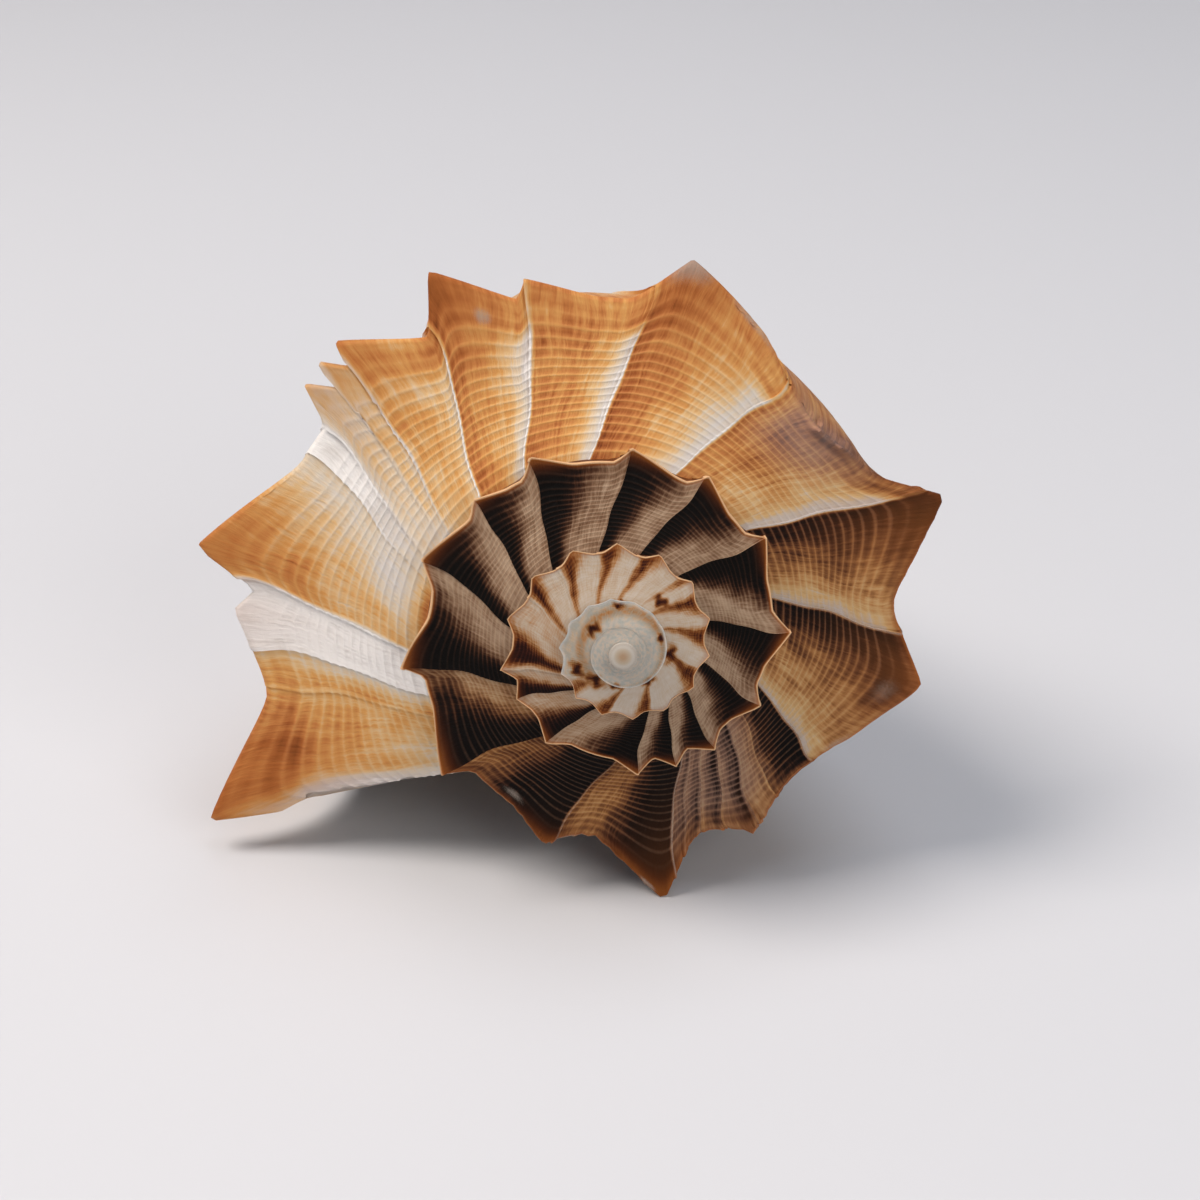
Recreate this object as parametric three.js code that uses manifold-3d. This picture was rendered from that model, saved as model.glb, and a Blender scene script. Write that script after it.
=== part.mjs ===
// Lightning whelk shell, lying mouth down on its shoulder spine, outer lip and canal.
// Units are millimetres, +Z is up, and the origin is under the middle of the shell on the surface it lies on.
//
// The shell grows round its own axis as a left-handed spiral, each turn a fixed ratio wider than the last.
// A point of its skin has two coordinates:
//   growth  the angle in degrees through which the snail had turned when it laid that point down
//   across  the place along the mouth's rim: -1 at the suture, 0 at the keel, and below the keel
//           the depth down the side as a share of the keel's radius
// While it is built, the axis is local Z with the apex at the origin and the canal at -Z.
import * as THREE from "three";
import { mergeVertices } from "three/addons/utils/BufferGeometryUtils.js";
import Module from "manifold-3d";

const SHELL_LENGTH = 148;
const LIP_GROWTH = 212;
const LIP_RADIUS = 42.5;
const TURN_RATIO = 1.87;
const FIRST_GROWTH = -1660;
const NUCLEUS_RADIUS = 1.5;
const NUCLEUS_SIDES = 12;

// The rim's profile, as shares of the keel's radius.
const SPIRE_SLOPE = 0.5;
const RAMP_START = { radius: 0.47, drop: 0.302 };
const RAMP_SAG = 0.03;
const SIDE = { canal: 0.09, depth: 1.18, power: 2.7 };
const SIDE_BULGE = { height: 0.02, depth: 0.6 };
// How far, in degrees, a growth line runs ahead of the keel at the suture and half way down the side.
const SUTURE_LEAD = 20;
const SUTURE_LEAD_POWER = 1.7;
const SIDE_LEAD = 10.8;
const SIDE_LEAD_DEPTH = 1.7;

// The keel's spines: growth angle of the tip, reach past the keel as a share of its radius,
// and how many degrees of growth the spine takes to rise and then to fall.
const SPINES = [
  { at: 209, reach: 0.27, rise: 14, fall: 6 },
  { at: 181, reach: 0.07, rise: 5, fall: 12 },
  { at: 172, reach: 0.19, rise: 17, fall: 7 },
  { at: 144, reach: 0.12, rise: 5, fall: 4 },
  { at: 140, reach: 0.13, rise: 6, fall: 2 },
  { at: 136, reach: 0.14, rise: 12, fall: 3 },
  { at: 119, reach: 0.17, rise: 13, fall: 6 },
  { at: 106, reach: 0.07, rise: 12, fall: 3 },
  { at: 79, reach: 0.16, rise: 24, fall: 10 },
  { at: 21, reach: 0.21, rise: 17, fall: 10 },
  { at: -13, reach: 0.16, rise: 20, fall: 15 },
  { at: -59, reach: 0.05, rise: 9, fall: 9 },
  { at: -82, reach: 0.27, rise: 15, fall: 11 },
  { at: -109, reach: 0.1, rise: 13, fall: 9 },
  { at: -139, reach: 0.135, rise: 18, fall: 5 },
  { at: -169, reach: 0.11, rise: 14, fall: 4 },
  { at: -200, reach: 0.09, rise: 16, fall: 8 },
  { at: -222, reach: 0.06, rise: 10, fall: 5 },
  { at: -243, reach: 0.1, rise: 12, fall: 6 },
  { at: -273, reach: 0.09, rise: 16, fall: 6 },
  { at: -298, reach: 0.1, rise: 13, fall: 6 },
  { at: -325, reach: 0.1, rise: 14, fall: 6 },
  { at: -359, reach: 0.13, rise: 14, fall: 9 },
  { at: -388, reach: 0.11, rise: 11, fall: 8 },
  { at: -412, reach: 0.11, rise: 9, fall: 8 },
  { at: -428, reach: 0.11, rise: 8, fall: 7 },
  { at: -444, reach: 0.13, rise: 11, fall: 8 },
  { at: -485, reach: 0.12, rise: 12, fall: 10 },
  { at: -510, reach: 0.07, rise: 9, fall: 9 },
  { at: -526, reach: 0.13, rise: 11, fall: 7 },
];
// Stretches where the keel lies a little inside the spiral.
const DENTS = [
  { at: 46, reach: -0.07, rise: 16, fall: 18 },
  { at: -42, reach: -0.05, rise: 12, fall: 14 },
  { at: -186, reach: -0.035, rise: 12, fall: 12 },
];
// Knobs of the early turns come at even steps.
const KNOB = { first: -552, last: -1300, step: 25, reach: 0.1, rise: 11, fall: 9 };
const SPINE_SHARPNESS = 1.35;
const SPINE_LIFT = -0.12;
const SPINE_RAMP_POWER = 3;
const SPINE_SIDE_DEPTH = 0.1;

// The wall, the room inside and the columella.
const WALL = 2.2;
// The share of a spine that stays solid, and the walls beside the suture and under the ramp, in walls.
const SOLID_SPINE = 0.45;
const RAMP_WALL = { inward: 0.4, down: 1.1 };
const HOLLOW_TURN = 296;
const LAST_BODY_TURN = 300;
const PAST_LIP = 4;
const HOLLOW_BOTTOM = { side: 1.4, axis: 1.9 };
const AXIS_SHARE = 0.012;
const DEEPEST_SIDE = 6;
const COLUMELLA = [
  [0.6, -1.4],
  [8, -30],
  [6.2, -52],
  [5.2, -78],
  [4.4, -104],
  [3.4, -130],
  [2.4, -147.5],
];
// The canal's groove, open on the mouth's side.
const GROOVE = {
  top: -62,
  past: 6,
  inner: 6.5,
  innerTip: -1.2,
  narrowing: 0.6,
  wall: 1.7,
  depth: 1.15,
  open: 16,
};
const GROOVE_RINGS = 8;
const GROOVE_ARC = 6;
// The canal leans this much, sideways and away from the mouth, at its tip.
const CANAL_BEND = { from: 75, side: 3, back: 1 };

// How the shell lies: the apex end is raised by the tilt, and the roll is about the shell's own axis.
const REST_TILT = 11.62;
const REST_ROLL = 0;
const WORN_FLAT = 0.45;

// Degrees between the rings of the last whorl, of the room inside, and of each earlier stretch.
const LAST_STEP = 3.8;
const HOLLOW_STEP = 6;
const EARLIER_STEPS = [5.5, 8, 12, 15, 20];
// Edges shorter than about this are merged away.
const SMALLEST_EDGE = 0.04;
const SAME_POINT = 1e-4;
// A ring this near a spine's tip, as a share of the step, gives way to the tip's own ring.
const TIP_GAP = 0.4;
const RAMP_SHARES = [-1, -0.82, -0.55, -0.3, -0.12];
const SIDE_DEPTHS = [0, 0.05, 0.12, 0.22, 0.36, 0.55, 0.78, 1.02, 1.28, 1.6, 2.0, 2.5];
const LEAST_DEPTH_GAP = 0.15;
const COLUMELLA_SIDES = 16;

const radians = THREE.MathUtils.degToRad;
const mix = THREE.MathUtils.lerp;

const keelRadius = (angle) => LIP_RADIUS * TURN_RATIO ** ((angle - LIP_GROWTH) / 360);

function lead(across) {
  if (across < 0) return SUTURE_LEAD * (-across) ** SUTURE_LEAD_POWER;
  return SIDE_LEAD * Math.sin(Math.PI * Math.min(across / SIDE_LEAD_DEPTH, 1));
}

// One spine's or dent's share at a growth angle: 0 at its feet and its full reach at the tip.
function swell({ at, reach, rise, fall }, growth) {
  const behind = at - growth;
  const left = behind > 0 ? 1 - behind / rise : 1 + behind / fall;
  return left > 0 ? reach * left ** SPINE_SHARPNESS : 0;
}

const knobs = [];
for (let at = KNOB.first; at > KNOB.last; at -= KNOB.step) {
  knobs.push({ ...KNOB, at });
}
const bumps = [...SPINES, ...knobs];

function spineReach(growth) {
  const out = Math.max(...bumps.map((bump) => swell(bump, growth)), 0);
  const inward = Math.min(...DENTS.map((dent) => swell(dent, growth)), 0);
  return out + inward;
}

// The side's radius at a depth below the keel, both as shares of the keel's radius.
function sideShare(depth) {
  const taper = SIDE.canal + (1 - SIDE.canal) / (1 + (depth / SIDE.depth) ** SIDE.power);
  return taper + SIDE_BULGE.height * Math.sin(Math.PI * Math.min(depth / SIDE_BULGE.depth, 1));
}

// How far the spines push the skin out at a place across the rim: most at the keel, fading both ways.
function spinePush(growth, across) {
  const fade = across < 0 ? (1 + across) ** SPINE_RAMP_POWER : Math.exp(-across / SPINE_SIDE_DEPTH);
  return spineReach(growth) * fade;
}

// Radius and height of the skin at a place across the rim, in millimetres, and the angle where it lies.
function rimPoint(growth, across) {
  const angle = growth + lead(across);
  const scale = keelRadius(angle);
  const push = spinePush(growth, across);
  let radius = sideShare(across);
  let height = -SPIRE_SLOPE - across;
  if (across < 0) {
    const share = 1 + across;
    radius = mix(RAMP_START.radius, 1, share);
    height = mix(-RAMP_START.drop, -SPIRE_SLOPE, share) - RAMP_SAG * Math.sin(Math.PI * share);
  }
  return { angle, radius: (radius + push) * scale, height: (height + SPINE_LIFT * push) * scale };
}

const place = ({ angle, radius, height }) => [
  radius * Math.cos(radians(angle)),
  radius * Math.sin(radians(angle)),
  height,
];

// Depths down the side at one growth angle, the last of them at the canal's tip.
function sideDepths(growth) {
  const tip = Math.min(SHELL_LENGTH / keelRadius(growth) - SPIRE_SLOPE, DEEPEST_SIDE);
  const depths = SIDE_DEPTHS.filter((depth) => depth < tip - LEAST_DEPTH_GAP);
  while (depths.length < SIDE_DEPTHS.length + 1) {
    const left = SIDE_DEPTHS.length + 1 - depths.length;
    depths.push(mix(depths[depths.length - 1], tip, 1 / left));
  }
  return depths;
}

// The closed outline of one whorl's solid: down the ramp and the side, and back up beside the axis.
function skinLoop(growth) {
  const loop = RAMP_SHARES.map((across) => rimPoint(growth, across));
  for (const depth of sideDepths(growth)) loop.push(rimPoint(growth, depth));
  const tip = loop[loop.length - 1];
  const axis = AXIS_SHARE * keelRadius(growth);
  loop.push({ ...tip, radius: axis }, { ...loop[0], radius: axis });
  return loop;
}

// The closed outline of the room inside the last whorl.
function hollowLoop(growth) {
  const wall = (WALL * keelRadius(growth)) / LIP_RADIUS;
  const inset = (across, inward, down) => {
    const point = rimPoint(growth, across);
    const solid = SOLID_SPINE * spinePush(growth, across) * keelRadius(growth);
    return { ...point, radius: point.radius - inward - solid, height: point.height - down };
  };
  const loop = RAMP_SHARES.map((across) =>
    inset(across, RAMP_WALL.inward * wall * (1 + across), RAMP_WALL.down * wall),
  );
  for (const depth of SIDE_DEPTHS.slice(1).filter((value) => value < HOLLOW_BOTTOM.side)) {
    loop.push(inset(depth, wall, 0));
  }
  const scale = keelRadius(growth);
  const axis = 2 * AXIS_SHARE * scale;
  const bottom = -(SPIRE_SLOPE + HOLLOW_BOTTOM.axis) * scale;
  loop.push({ angle: growth, radius: axis, height: bottom }, { ...loop[0], radius: axis });
  return loop;
}

const wasm = await Module();
wasm.setup();

function toSolid(geometry) {
  geometry.deleteAttribute("normal");
  geometry.deleteAttribute("uv");
  const merged = mergeVertices(geometry, SAME_POINT);
  return new wasm.Manifold(
    new wasm.Mesh({
      numProp: 3,
      vertProperties: new Float32Array(merged.attributes.position.array),
      triVerts: new Uint32Array(merged.index.array),
    }),
  );
}

// A closed solid through a row of rings, each a closed outline with the same number of points.
function loft(rings, flatEnd) {
  const count = rings[0].length;
  const positions = rings.flat(2);
  const faces = [];
  for (let i = 0; i + 1 < rings.length; i += 1) {
    for (let j = 0; j < count; j += 1) {
      const a = i * count + j;
      const b = i * count + ((j + 1) % count);
      faces.push(a, b, b + count, a, b + count, a + count);
    }
  }
  const outline = flatEnd.map(([x, y]) => new THREE.Vector2(x, y));
  const forwards = THREE.ShapeUtils.area(outline) > 0;
  const last = (rings.length - 1) * count;
  for (const [a, b, c] of THREE.ShapeUtils.triangulateShape(outline, [])) {
    const same = THREE.ShapeUtils.area([outline[a], outline[b], outline[c]]) > 0 === forwards;
    const [first, second] = same ? [b, c] : [c, b];
    faces.push(a, second, first, last + a, last + first, last + second);
  }
  const geometry = new THREE.BufferGeometry();
  geometry.setAttribute("position", new THREE.Float32BufferAttribute(positions, 3));
  geometry.setIndex(faces);
  return toSolid(geometry);
}

// Growth angles of a stretch's rings: even steps, with a ring at each spine's tip.
function ringAngles(from, to, step) {
  const tips = bumps.map(({ at }) => at).filter((at) => at > from + 1 && at < to - 1);
  const count = Math.ceil((to - from) / step);
  const angles = [];
  for (let i = 0; i <= count; i += 1) {
    const angle = mix(from, to, i / count);
    const inner = i > 0 && i < count;
    if (!inner || tips.every((tip) => Math.abs(tip - angle) > TIP_GAP * step)) angles.push(angle);
  }
  return [...angles, ...tips].sort((a, b) => a - b);
}

function sweep(outlineAt, from, to, step) {
  const outlines = ringAngles(from, to, step).map(outlineAt);
  const flatEnd = outlines[outlines.length - 1].map(({ radius, height }) => [radius, height]);
  return loft(
    outlines.map((outline) => outline.map(place)),
    flatEnd,
  );
}

// The canal's groove as a solid to cut away: a half round channel, open towards the mouth's side.
function grooveSolid() {
  const rings = [];
  for (let i = 0; i <= GROOVE_RINGS; i += 1) {
    const share = i / GROOVE_RINGS;
    const z = mix(GROOVE.top, -SHELL_LENGTH - GROOVE.past, share);
    const depth = -Math.max(z, -SHELL_LENGTH) / LIP_RADIUS - SPIRE_SLOPE;
    const outer = sideShare(depth) * LIP_RADIUS - GROOVE.wall;
    const inner = mix(GROOVE.inner, GROOVE.innerTip, share ** GROOVE.narrowing);
    const middle = (outer + inner) / 2;
    const half = (outer - inner) / 2;
    const ring = [];
    for (let k = 0; k <= GROOVE_ARC; k += 1) {
      const turn = Math.PI * (1 + k / GROOVE_ARC);
      ring.push([middle + half * Math.cos(turn), GROOVE.depth * half * Math.sin(turn), z]);
    }
    ring.push([outer, GROOVE.open, z], [inner, GROOVE.open, z]);
    rings.push(ring);
  }
  const flatEnd = rings[0].map(([x, y]) => [x, y]);
  return loft(rings.reverse(), flatEnd).rotate([0, 0, LIP_GROWTH]);
}

function columellaSolid() {
  const profile = [
    new THREE.Vector2(0, COLUMELLA[0][1]),
    ...COLUMELLA.map(([radius, height]) => new THREE.Vector2(radius, height)),
    new THREE.Vector2(0, COLUMELLA[COLUMELLA.length - 1][1]),
  ];
  const lathe = new THREE.LatheGeometry(profile.reverse(), COLUMELLA_SIDES);
  lathe.rotateX(Math.PI / 2);
  return toSolid(lathe);
}

function nucleusSolid() {
  const dome = new THREE.SphereGeometry(NUCLEUS_RADIUS, NUCLEUS_SIDES, NUCLEUS_SIDES / 2);
  dome.translate(0, 0, -SPIRE_SLOPE * NUCLEUS_RADIUS);
  return toSolid(dome);
}

// The biggest body of a solid, with the specks of space trapped between the turns filled in.
function mainBody(solid) {
  return solid.decompose().reduce((big, other) => (other.volume() > big.volume() ? other : big));
}

function shellSolid() {
  const lastFrom = LIP_GROWTH - LAST_BODY_TURN;
  let body = sweep(skinLoop, lastFrom, LIP_GROWTH, LAST_STEP);
  body = body.subtract(sweep(hollowLoop, LIP_GROWTH - HOLLOW_TURN, LIP_GROWTH + PAST_LIP, HOLLOW_STEP));
  let to = lastFrom;
  for (const step of EARLIER_STEPS) {
    const from = Math.max(to - LAST_BODY_TURN, FIRST_GROWTH);
    if (from >= to) break;
    body = body.add(sweep(skinLoop, from, to, step));
    to = from;
  }
  body = body.add(columellaSolid()).add(nucleusSolid()).subtract(grooveSolid());
  return mainBody(body.simplify(SMALLEST_EDGE));
}

// Leans the canal: points beyond the bend's start move sideways and back, more towards the tip.
function bendCanal(x, y, z) {
  const share = Math.max(0, (-z - CANAL_BEND.from) / (SHELL_LENGTH - CANAL_BEND.from)) ** 2;
  const away = radians(LIP_GROWTH - 90);
  const side = radians(LIP_GROWTH);
  return [
    x + share * (CANAL_BEND.side * Math.cos(side) + CANAL_BEND.back * Math.cos(away)),
    y + share * (CANAL_BEND.side * Math.sin(side) + CANAL_BEND.back * Math.sin(away)),
    z,
  ];
}

// From the shell's own axis to the way it lies, before it is set down on the surface.
function layDown() {
  const roll = new THREE.Matrix4().makeRotationZ(radians(REST_ROLL));
  return new THREE.Matrix4().makeRotationX(radians(90 - REST_TILT)).multiply(roll);
}

function laidOut(solid) {
  const mesh = solid.getMesh();
  const turn = layDown();
  const at = new THREE.Vector3();
  const box = new THREE.Box3();
  const points = [];
  for (let i = 0; i < mesh.numVert; i += 1) {
    const [x, y, z] = mesh.vertProperties.slice(i * mesh.numProp, i * mesh.numProp + 3);
    at.set(...bendCanal(x, y, z)).applyMatrix4(turn);
    box.expandByPoint(at);
    points.push(at.clone());
  }
  const middle = box.getCenter(new THREE.Vector3());
  const down = new THREE.Vector3(middle.x, middle.y, box.min.z + WORN_FLAT);
  const geometry = new THREE.BufferGeometry().setFromPoints(points.map((p) => p.sub(down)));
  geometry.setIndex(new THREE.BufferAttribute(mesh.triVerts, 1));
  return toSolid(geometry);
}

// Wears a small flat on each point that the shell lies on.
function wornFlat(solid) {
  const size = 2 * SHELL_LENGTH;
  const ground = new THREE.BoxGeometry(size, size, size);
  ground.translate(0, 0, -size / 2);
  return solid.subtract(toSolid(ground)).simplify(SMALLEST_EDGE);
}

function meshOf(solid, name, material) {
  const { vertProperties, triVerts } = solid.getMesh();
  const geometry = new THREE.BufferGeometry();
  geometry.setAttribute("position", new THREE.BufferAttribute(vertProperties, 3));
  geometry.setIndex(new THREE.BufferAttribute(triVerts, 1));
  geometry.computeVertexNormals();
  const mesh = new THREE.Mesh(geometry, material);
  mesh.name = name;
  return mesh;
}

const shellMaterial = new THREE.MeshStandardMaterial({
  color: "#c98a52",
  roughness: 0.5,
  metalness: 0,
  flatShading: true,
});

const whelk = new THREE.Group();
whelk.add(meshOf(wornFlat(laidOut(shellSolid())), "shell", shellMaterial));

export default whelk;
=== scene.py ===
# Looks for a lightning whelk shell that lies mouth down on a pale table.
# The skin is swept along the same left-handed spiral as the solid, with finer rings and columns. It then gets
# what the solid leaves out: spiral cords, a ledge at each pause in growth, folds, nicks and a thin lip.
# The shell is worked out in millimetres on its own axis, local Z with the apex at the origin, and its mesh
# is finished in metres, the way the solid lies.
# A place on the skin has two numbers. Growth is the angle in degrees where its growth line meets the keel,
# 212 at the lip and less on older turns. Across is -1 at the suture, 0 at the keel, and below the keel the
# depth down the side in keel radii.
import math

import bmesh
import bpy
import numpy as np
from mathutils import Matrix, Vector


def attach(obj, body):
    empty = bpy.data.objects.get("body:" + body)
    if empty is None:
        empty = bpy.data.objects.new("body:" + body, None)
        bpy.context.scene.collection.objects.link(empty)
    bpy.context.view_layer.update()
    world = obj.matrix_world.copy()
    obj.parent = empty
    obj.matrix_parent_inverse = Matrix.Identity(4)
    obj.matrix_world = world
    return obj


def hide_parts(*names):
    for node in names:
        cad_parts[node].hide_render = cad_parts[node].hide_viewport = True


MM = 0.001

# The spiral and the rim's profile, as in the solid.
SHELL_LENGTH = 148
LIP_GROWTH = 212
LIP_RADIUS = 42.5
TURN_RATIO = 1.87
FIRST_GROWTH = -1660
NUCLEUS_RADIUS = 1.5
SPIRE_SLOPE = 0.5
RAMP_START_RADIUS = 0.47
RAMP_START_DROP = 0.302
RAMP_SAG = 0.03
SIDE_CANAL = 0.09
SIDE_DEPTH = 1.18
SIDE_POWER = 2.7
SIDE_BULGE = -0.012
SIDE_BULGE_DEPTH = 0.6
SUTURE_LEAD = 20
SUTURE_LEAD_POWER = 1.7
SIDE_LEAD = 10.8
SIDE_LEAD_DEPTH = 1.7
NUCLEUS_HALF_HEIGHT = 0.22
NUCLEUS_DROP = 0.37

# Spines: growth angle of the tip, reach as a share of the keel's radius, degrees of rise and of fall.
SPINES = [
    (209, 0.27, 14, 6), (181, 0.07, 5, 12), (172, 0.19, 17, 7), (144, 0.12, 5, 4), (140, 0.13, 6, 2),
    (136, 0.14, 12, 3), (119, 0.17, 13, 6), (106, 0.07, 12, 3), (79, 0.16, 24, 10), (21, 0.21, 17, 10),
    (-13, 0.16, 20, 15), (-59, 0.05, 9, 9), (-82, 0.27, 15, 11), (-109, 0.1, 13, 9), (-139, 0.135, 18, 5),
    (-169, 0.11, 14, 4), (-200, 0.09, 16, 8), (-222, 0.06, 10, 5), (-243, 0.1, 12, 6), (-273, 0.09, 16, 6),
    (-298, 0.1, 13, 6), (-325, 0.1, 14, 6), (-359, 0.13, 14, 9), (-388, 0.11, 11, 8), (-412, 0.11, 9, 8),
    (-428, 0.11, 8, 7), (-444, 0.13, 11, 8), (-485, 0.12, 12, 10), (-510, 0.07, 9, 9), (-526, 0.13, 11, 7),
]
DENTS = [(46, -0.07, 16, 18), (-42, -0.05, 12, 14), (-186, -0.035, 12, 12)]
KNOB_FIRST = -552
KNOB_LAST = -1300
KNOB_STEP = 25
KNOB_SHAPE = (0.1, 11, 9)
SPINE_SHARPNESS = 1.35
SPINE_TIP_ROUND = 0.015
SPINE_ROUNDS_INWARD = 1.2
SPINE_LIFT = -0.12
SPINE_RAMP_POWER = 3
SPINE_SIDE_DEPTH = 0.1

# The wall, the room inside, the columella and the canal.
WALL = 2.2
LIP_EDGE_WALL = 0.9
LIP_THINS_OVER = 16
SOLID_SPINE = 0.45
RAMP_WALL_INWARD = 0.4
RAMP_WALL_DOWN = 1.1
HOLLOW_TURN = 296
HOLLOW_SIDE = 1.4
HOLLOW_AXIS = 1.9
LAST_BODY_TURN = 300
AXIS_SHARE = 0.012
DEEPEST_SIDE = 6
COLUMELLA_GROWTH = -150
COLUMELLA = [(0.6, -1.4), (8, -30), (6.2, -52), (5.2, -78), (4.4, -104), (3.4, -130), (2.4, -147.5)]
GROOVE_TOP = -62
GROOVE_INNER = 6.5
GROOVE_INNER_TIP = -1.2
GROOVE_NARROWING = 0.6
GROOVE_WALL = 1.7
GROOVE_DEPTH = 1.15
GROOVE_OPEN = 16
GROOVE_PAST_TIP = 6
CANAL_BEND_FROM = 75
CANAL_BEND_SIDE = 3
CANAL_BEND_BACK = 1

# How the shell lies.
REST_TILT = math.radians(11.62)
WORN_FLAT = 0.45

# How fine the mesh is: degrees between rings, columns to a cord, columns down the side. Little of the side
# shows on the turns before the last.
LAST_TURN_MESH = (1.25, 4, 46)
EARLIER_TURN_MESHES = [(1.7, 3, 34), (1.9, 3, 8), (3.5, 2, 6), (5, 1, 6), (8, 1, 5)]
RINGS_AT_PAUSE = (-1.3, -0.8, -0.4, -0.05, 0.05, 0.5)
RINGS_AT_OLD_PAUSE = (-0.6, -0.05, 0.05)
OLD_PAUSE_BEFORE = -120
ROOM_STEP = 2
ROOM_PAST_LIP = 4
GROOVE_RINGS = 40
GROOVE_ARC_POINTS = 21
COLUMELLA_RINGS = 90
COLUMELLA_COLUMNS = 48
COLUMELLA_SMOOTHINGS = 4
NUCLEUS_RINGS = 16
NUCLEUS_COLUMNS = 32

# Relief that grew on the skin, in millimetres on the last turn. The cords are closest where the share of the
# ramp is CORD_BUNCH_AT, and lie up to CORD_BUNCHING cords away from even spacing.
CORDS = 20
CORD_BUNCHING = 1.1
CORD_BUNCH_AT = 0.45
CORD_HEIGHT = 0.12
CORD_FADE_IN = (0.03, 0.09)
CORD_FADE_OUT = (0.8, 0.92)
LEDGE_DROP = 0.3
LEDGE_HEALS_OVER = 5
LEDGE_RIDGE = 0.28
LEDGE_RIDGE_WIDTH = 1.1
FOLD_HEIGHT = 0.9
FOLD_WIDTH = 5
FOLDS_FROM = -110
RIM_LINE = 0.026
RIM_GLOW = 0.08
RIM_BEAD = 0.3
RIM_BEAD_WIDTH = 0.022
EDGE_ROUND = 0.35
EDGE_ROUND_WIDTH = 0.012

# Wear: nicks along the keel in millimetres, and chips out of the lip's edge in degrees of growth.
NICK_DEPTH = 0.13
LIP_CHIP = 0.8
# Healed lumps: growth, across, width in degrees, height on the ramp, how far it stands out.
LUMPS = [
    (44, -0.05, 2.6, 0.05, 1.5), (38, -0.03, 2.2, 0.04, 1.2), (-17, -0.05, 6, 0.08, 0.7),
    (-58, -0.02, 3, 0.05, 0.9),
]

# Pauses in growth, each with how strong its ledge is.
PAUSES = [
    (194, 0.35), (187, 0.5), (176, 1), (153, 0.6), (148, 1.1), (141, 0.5), (137, 0.8), (123, 0.9), (106, 1),
    (85, 0.9), (56, 0.9), (24, 1), (-3, 1), (-37, 0.9), (-50, 0.5), (-57, 0.7), (-64, 0.5), (-70, 0.7),
    (-75, 0.7), (-79, 1), (-107, 1), (-139, 0.9), (-169, 0.8), (-200, 0.8), (-222, 0.4), (-242, 0.7),
    (-272, 0.7), (-297, 0.7), (-325, 0.8), (-359, 0.8), (-388, 0.8), (-412, 0.7), (-428, 0.6), (-444, 0.7),
    (-485, 0.8), (-510, 0.6), (-526, 0.8), (-566, 0.5), (-590, 0.5), (-615, 0.5), (-639, 0.5), (-667, 0.5),
]

# The stretch of growth whose colour is read from the list below.
LAST_TURN_FROM = -139
LAST_TURN_TO = 213
# Depth of colour along the growth, from 0, white, to 1, near black. Two entries at one angle are a sharp
# line.
LAST_TURN_SHADES = [
    (-139, 0.5), (-132, 0.62), (-124, 0.95), (-112, 1.12), (-107, 1.15),
    (-107, 0.6), (-103, 0.46), (-97, 0.5), (-92, 0.8), (-86, 1.1), (-79, 1.15),
    (-79, 0.5), (-76, 0.7), (-75, 1), (-75, 0.42), (-71, 0.75), (-70, 1), (-70, 0.38), (-64, 0.95),
    (-64, 0.4), (-58, 0.85), (-57, 1), (-57, 0.38), (-51, 0.55), (-44, 0.9), (-37, 1.08),
    (-37, 0.09), (-35, 0.17), (-30, 0.36), (-23, 0.4), (-16, 0.56), (-9, 0.8), (-3, 1),
    (-3, 0.09), (-1, 0.15), (3, 0.32), (8, 0.46), (15, 0.68), (20, 0.88), (24, 1),
    (24, 0.05), (26, 0.1), (28.5, 0.26), (36, 0.33), (44, 0.42), (52, 0.42), (56, 0.56),
    (56, 0.035), (58.5, 0.06), (62, 0.2), (69, 0.34), (78, 0.52), (85, 0.7),
    (85, 0.035), (87, 0.07), (90, 0.28), (96, 0.43), (101, 0.47), (106, 0.57),
    (106, 0.035), (107.6, 0.07), (109.5, 0.2), (113, 0.34), (118, 0.46), (123, 0.6),
    (123, 0.12), (127, 0.27), (132, 0.32), (137, 0.42),
    (137, 0.18), (141, 0.28), (141, 0.1), (144, 0.18), (148, 0.08),
    (148, 0), (153, 0.01), (153, 0.1), (158, 0.12), (163, 0.25), (169, 0.42), (176, 0.52),
    (176, 0), (187, 0.01), (187, 0.25), (190, 0.38), (194, 0.56), (194, 0.3), (199, 0.38), (204, 0.36),
    (208, 0.28), (209, 0.04), (213, 0),
]
# The band along the keel, plain where it has worn: growth, how much of it shows, its depth of colour.
KEEL_TONES = [
    (-139, 0.2, 0.6), (-113, 0.6, 0.55), (-107, 0.6, 0.5), (-97, 0.8, 0.44), (-90, 0.6, 0.8),
    (-80, 0.4, 0.95), (-77, 0.6, 0.55), (-70, 0.85, 0.44), (-60, 0.9, 0.4), (-40, 0.7, 0.45),
    (-30, 0.8, 0.36), (-12, 0.8, 0.42), (-3, 0.5, 0.7), (10, 0.3, 0.62), (18, 0.5, 0.86),
    (24, 0.7, 0.8), (34, 0.8, 0.6), (45, 0.9, 0.5), (56, 0.8, 0.5), (70, 0.6, 0.48), (85, 0.85, 0.5),
    (106, 0.9, 0.47), (118, 0.85, 0.56), (123, 0.9, 0.6), (128, 0.6, 0.42), (136, 0.55, 0.42),
    (137.5, 0.2, 0.3), (141, 0, 0.2), (153, 0, 0.2), (158, 0.1, 0.3), (166, 0.7, 0.44), (174, 0.8, 0.46),
    (176, 0.2, 0.4), (177, 0, 0.3), (187, 0, 0.4), (190, 0.4, 0.5), (196, 0.8, 0.55), (208, 0.85, 0.55),
    (211, 0.3, 0.3),
]
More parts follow.
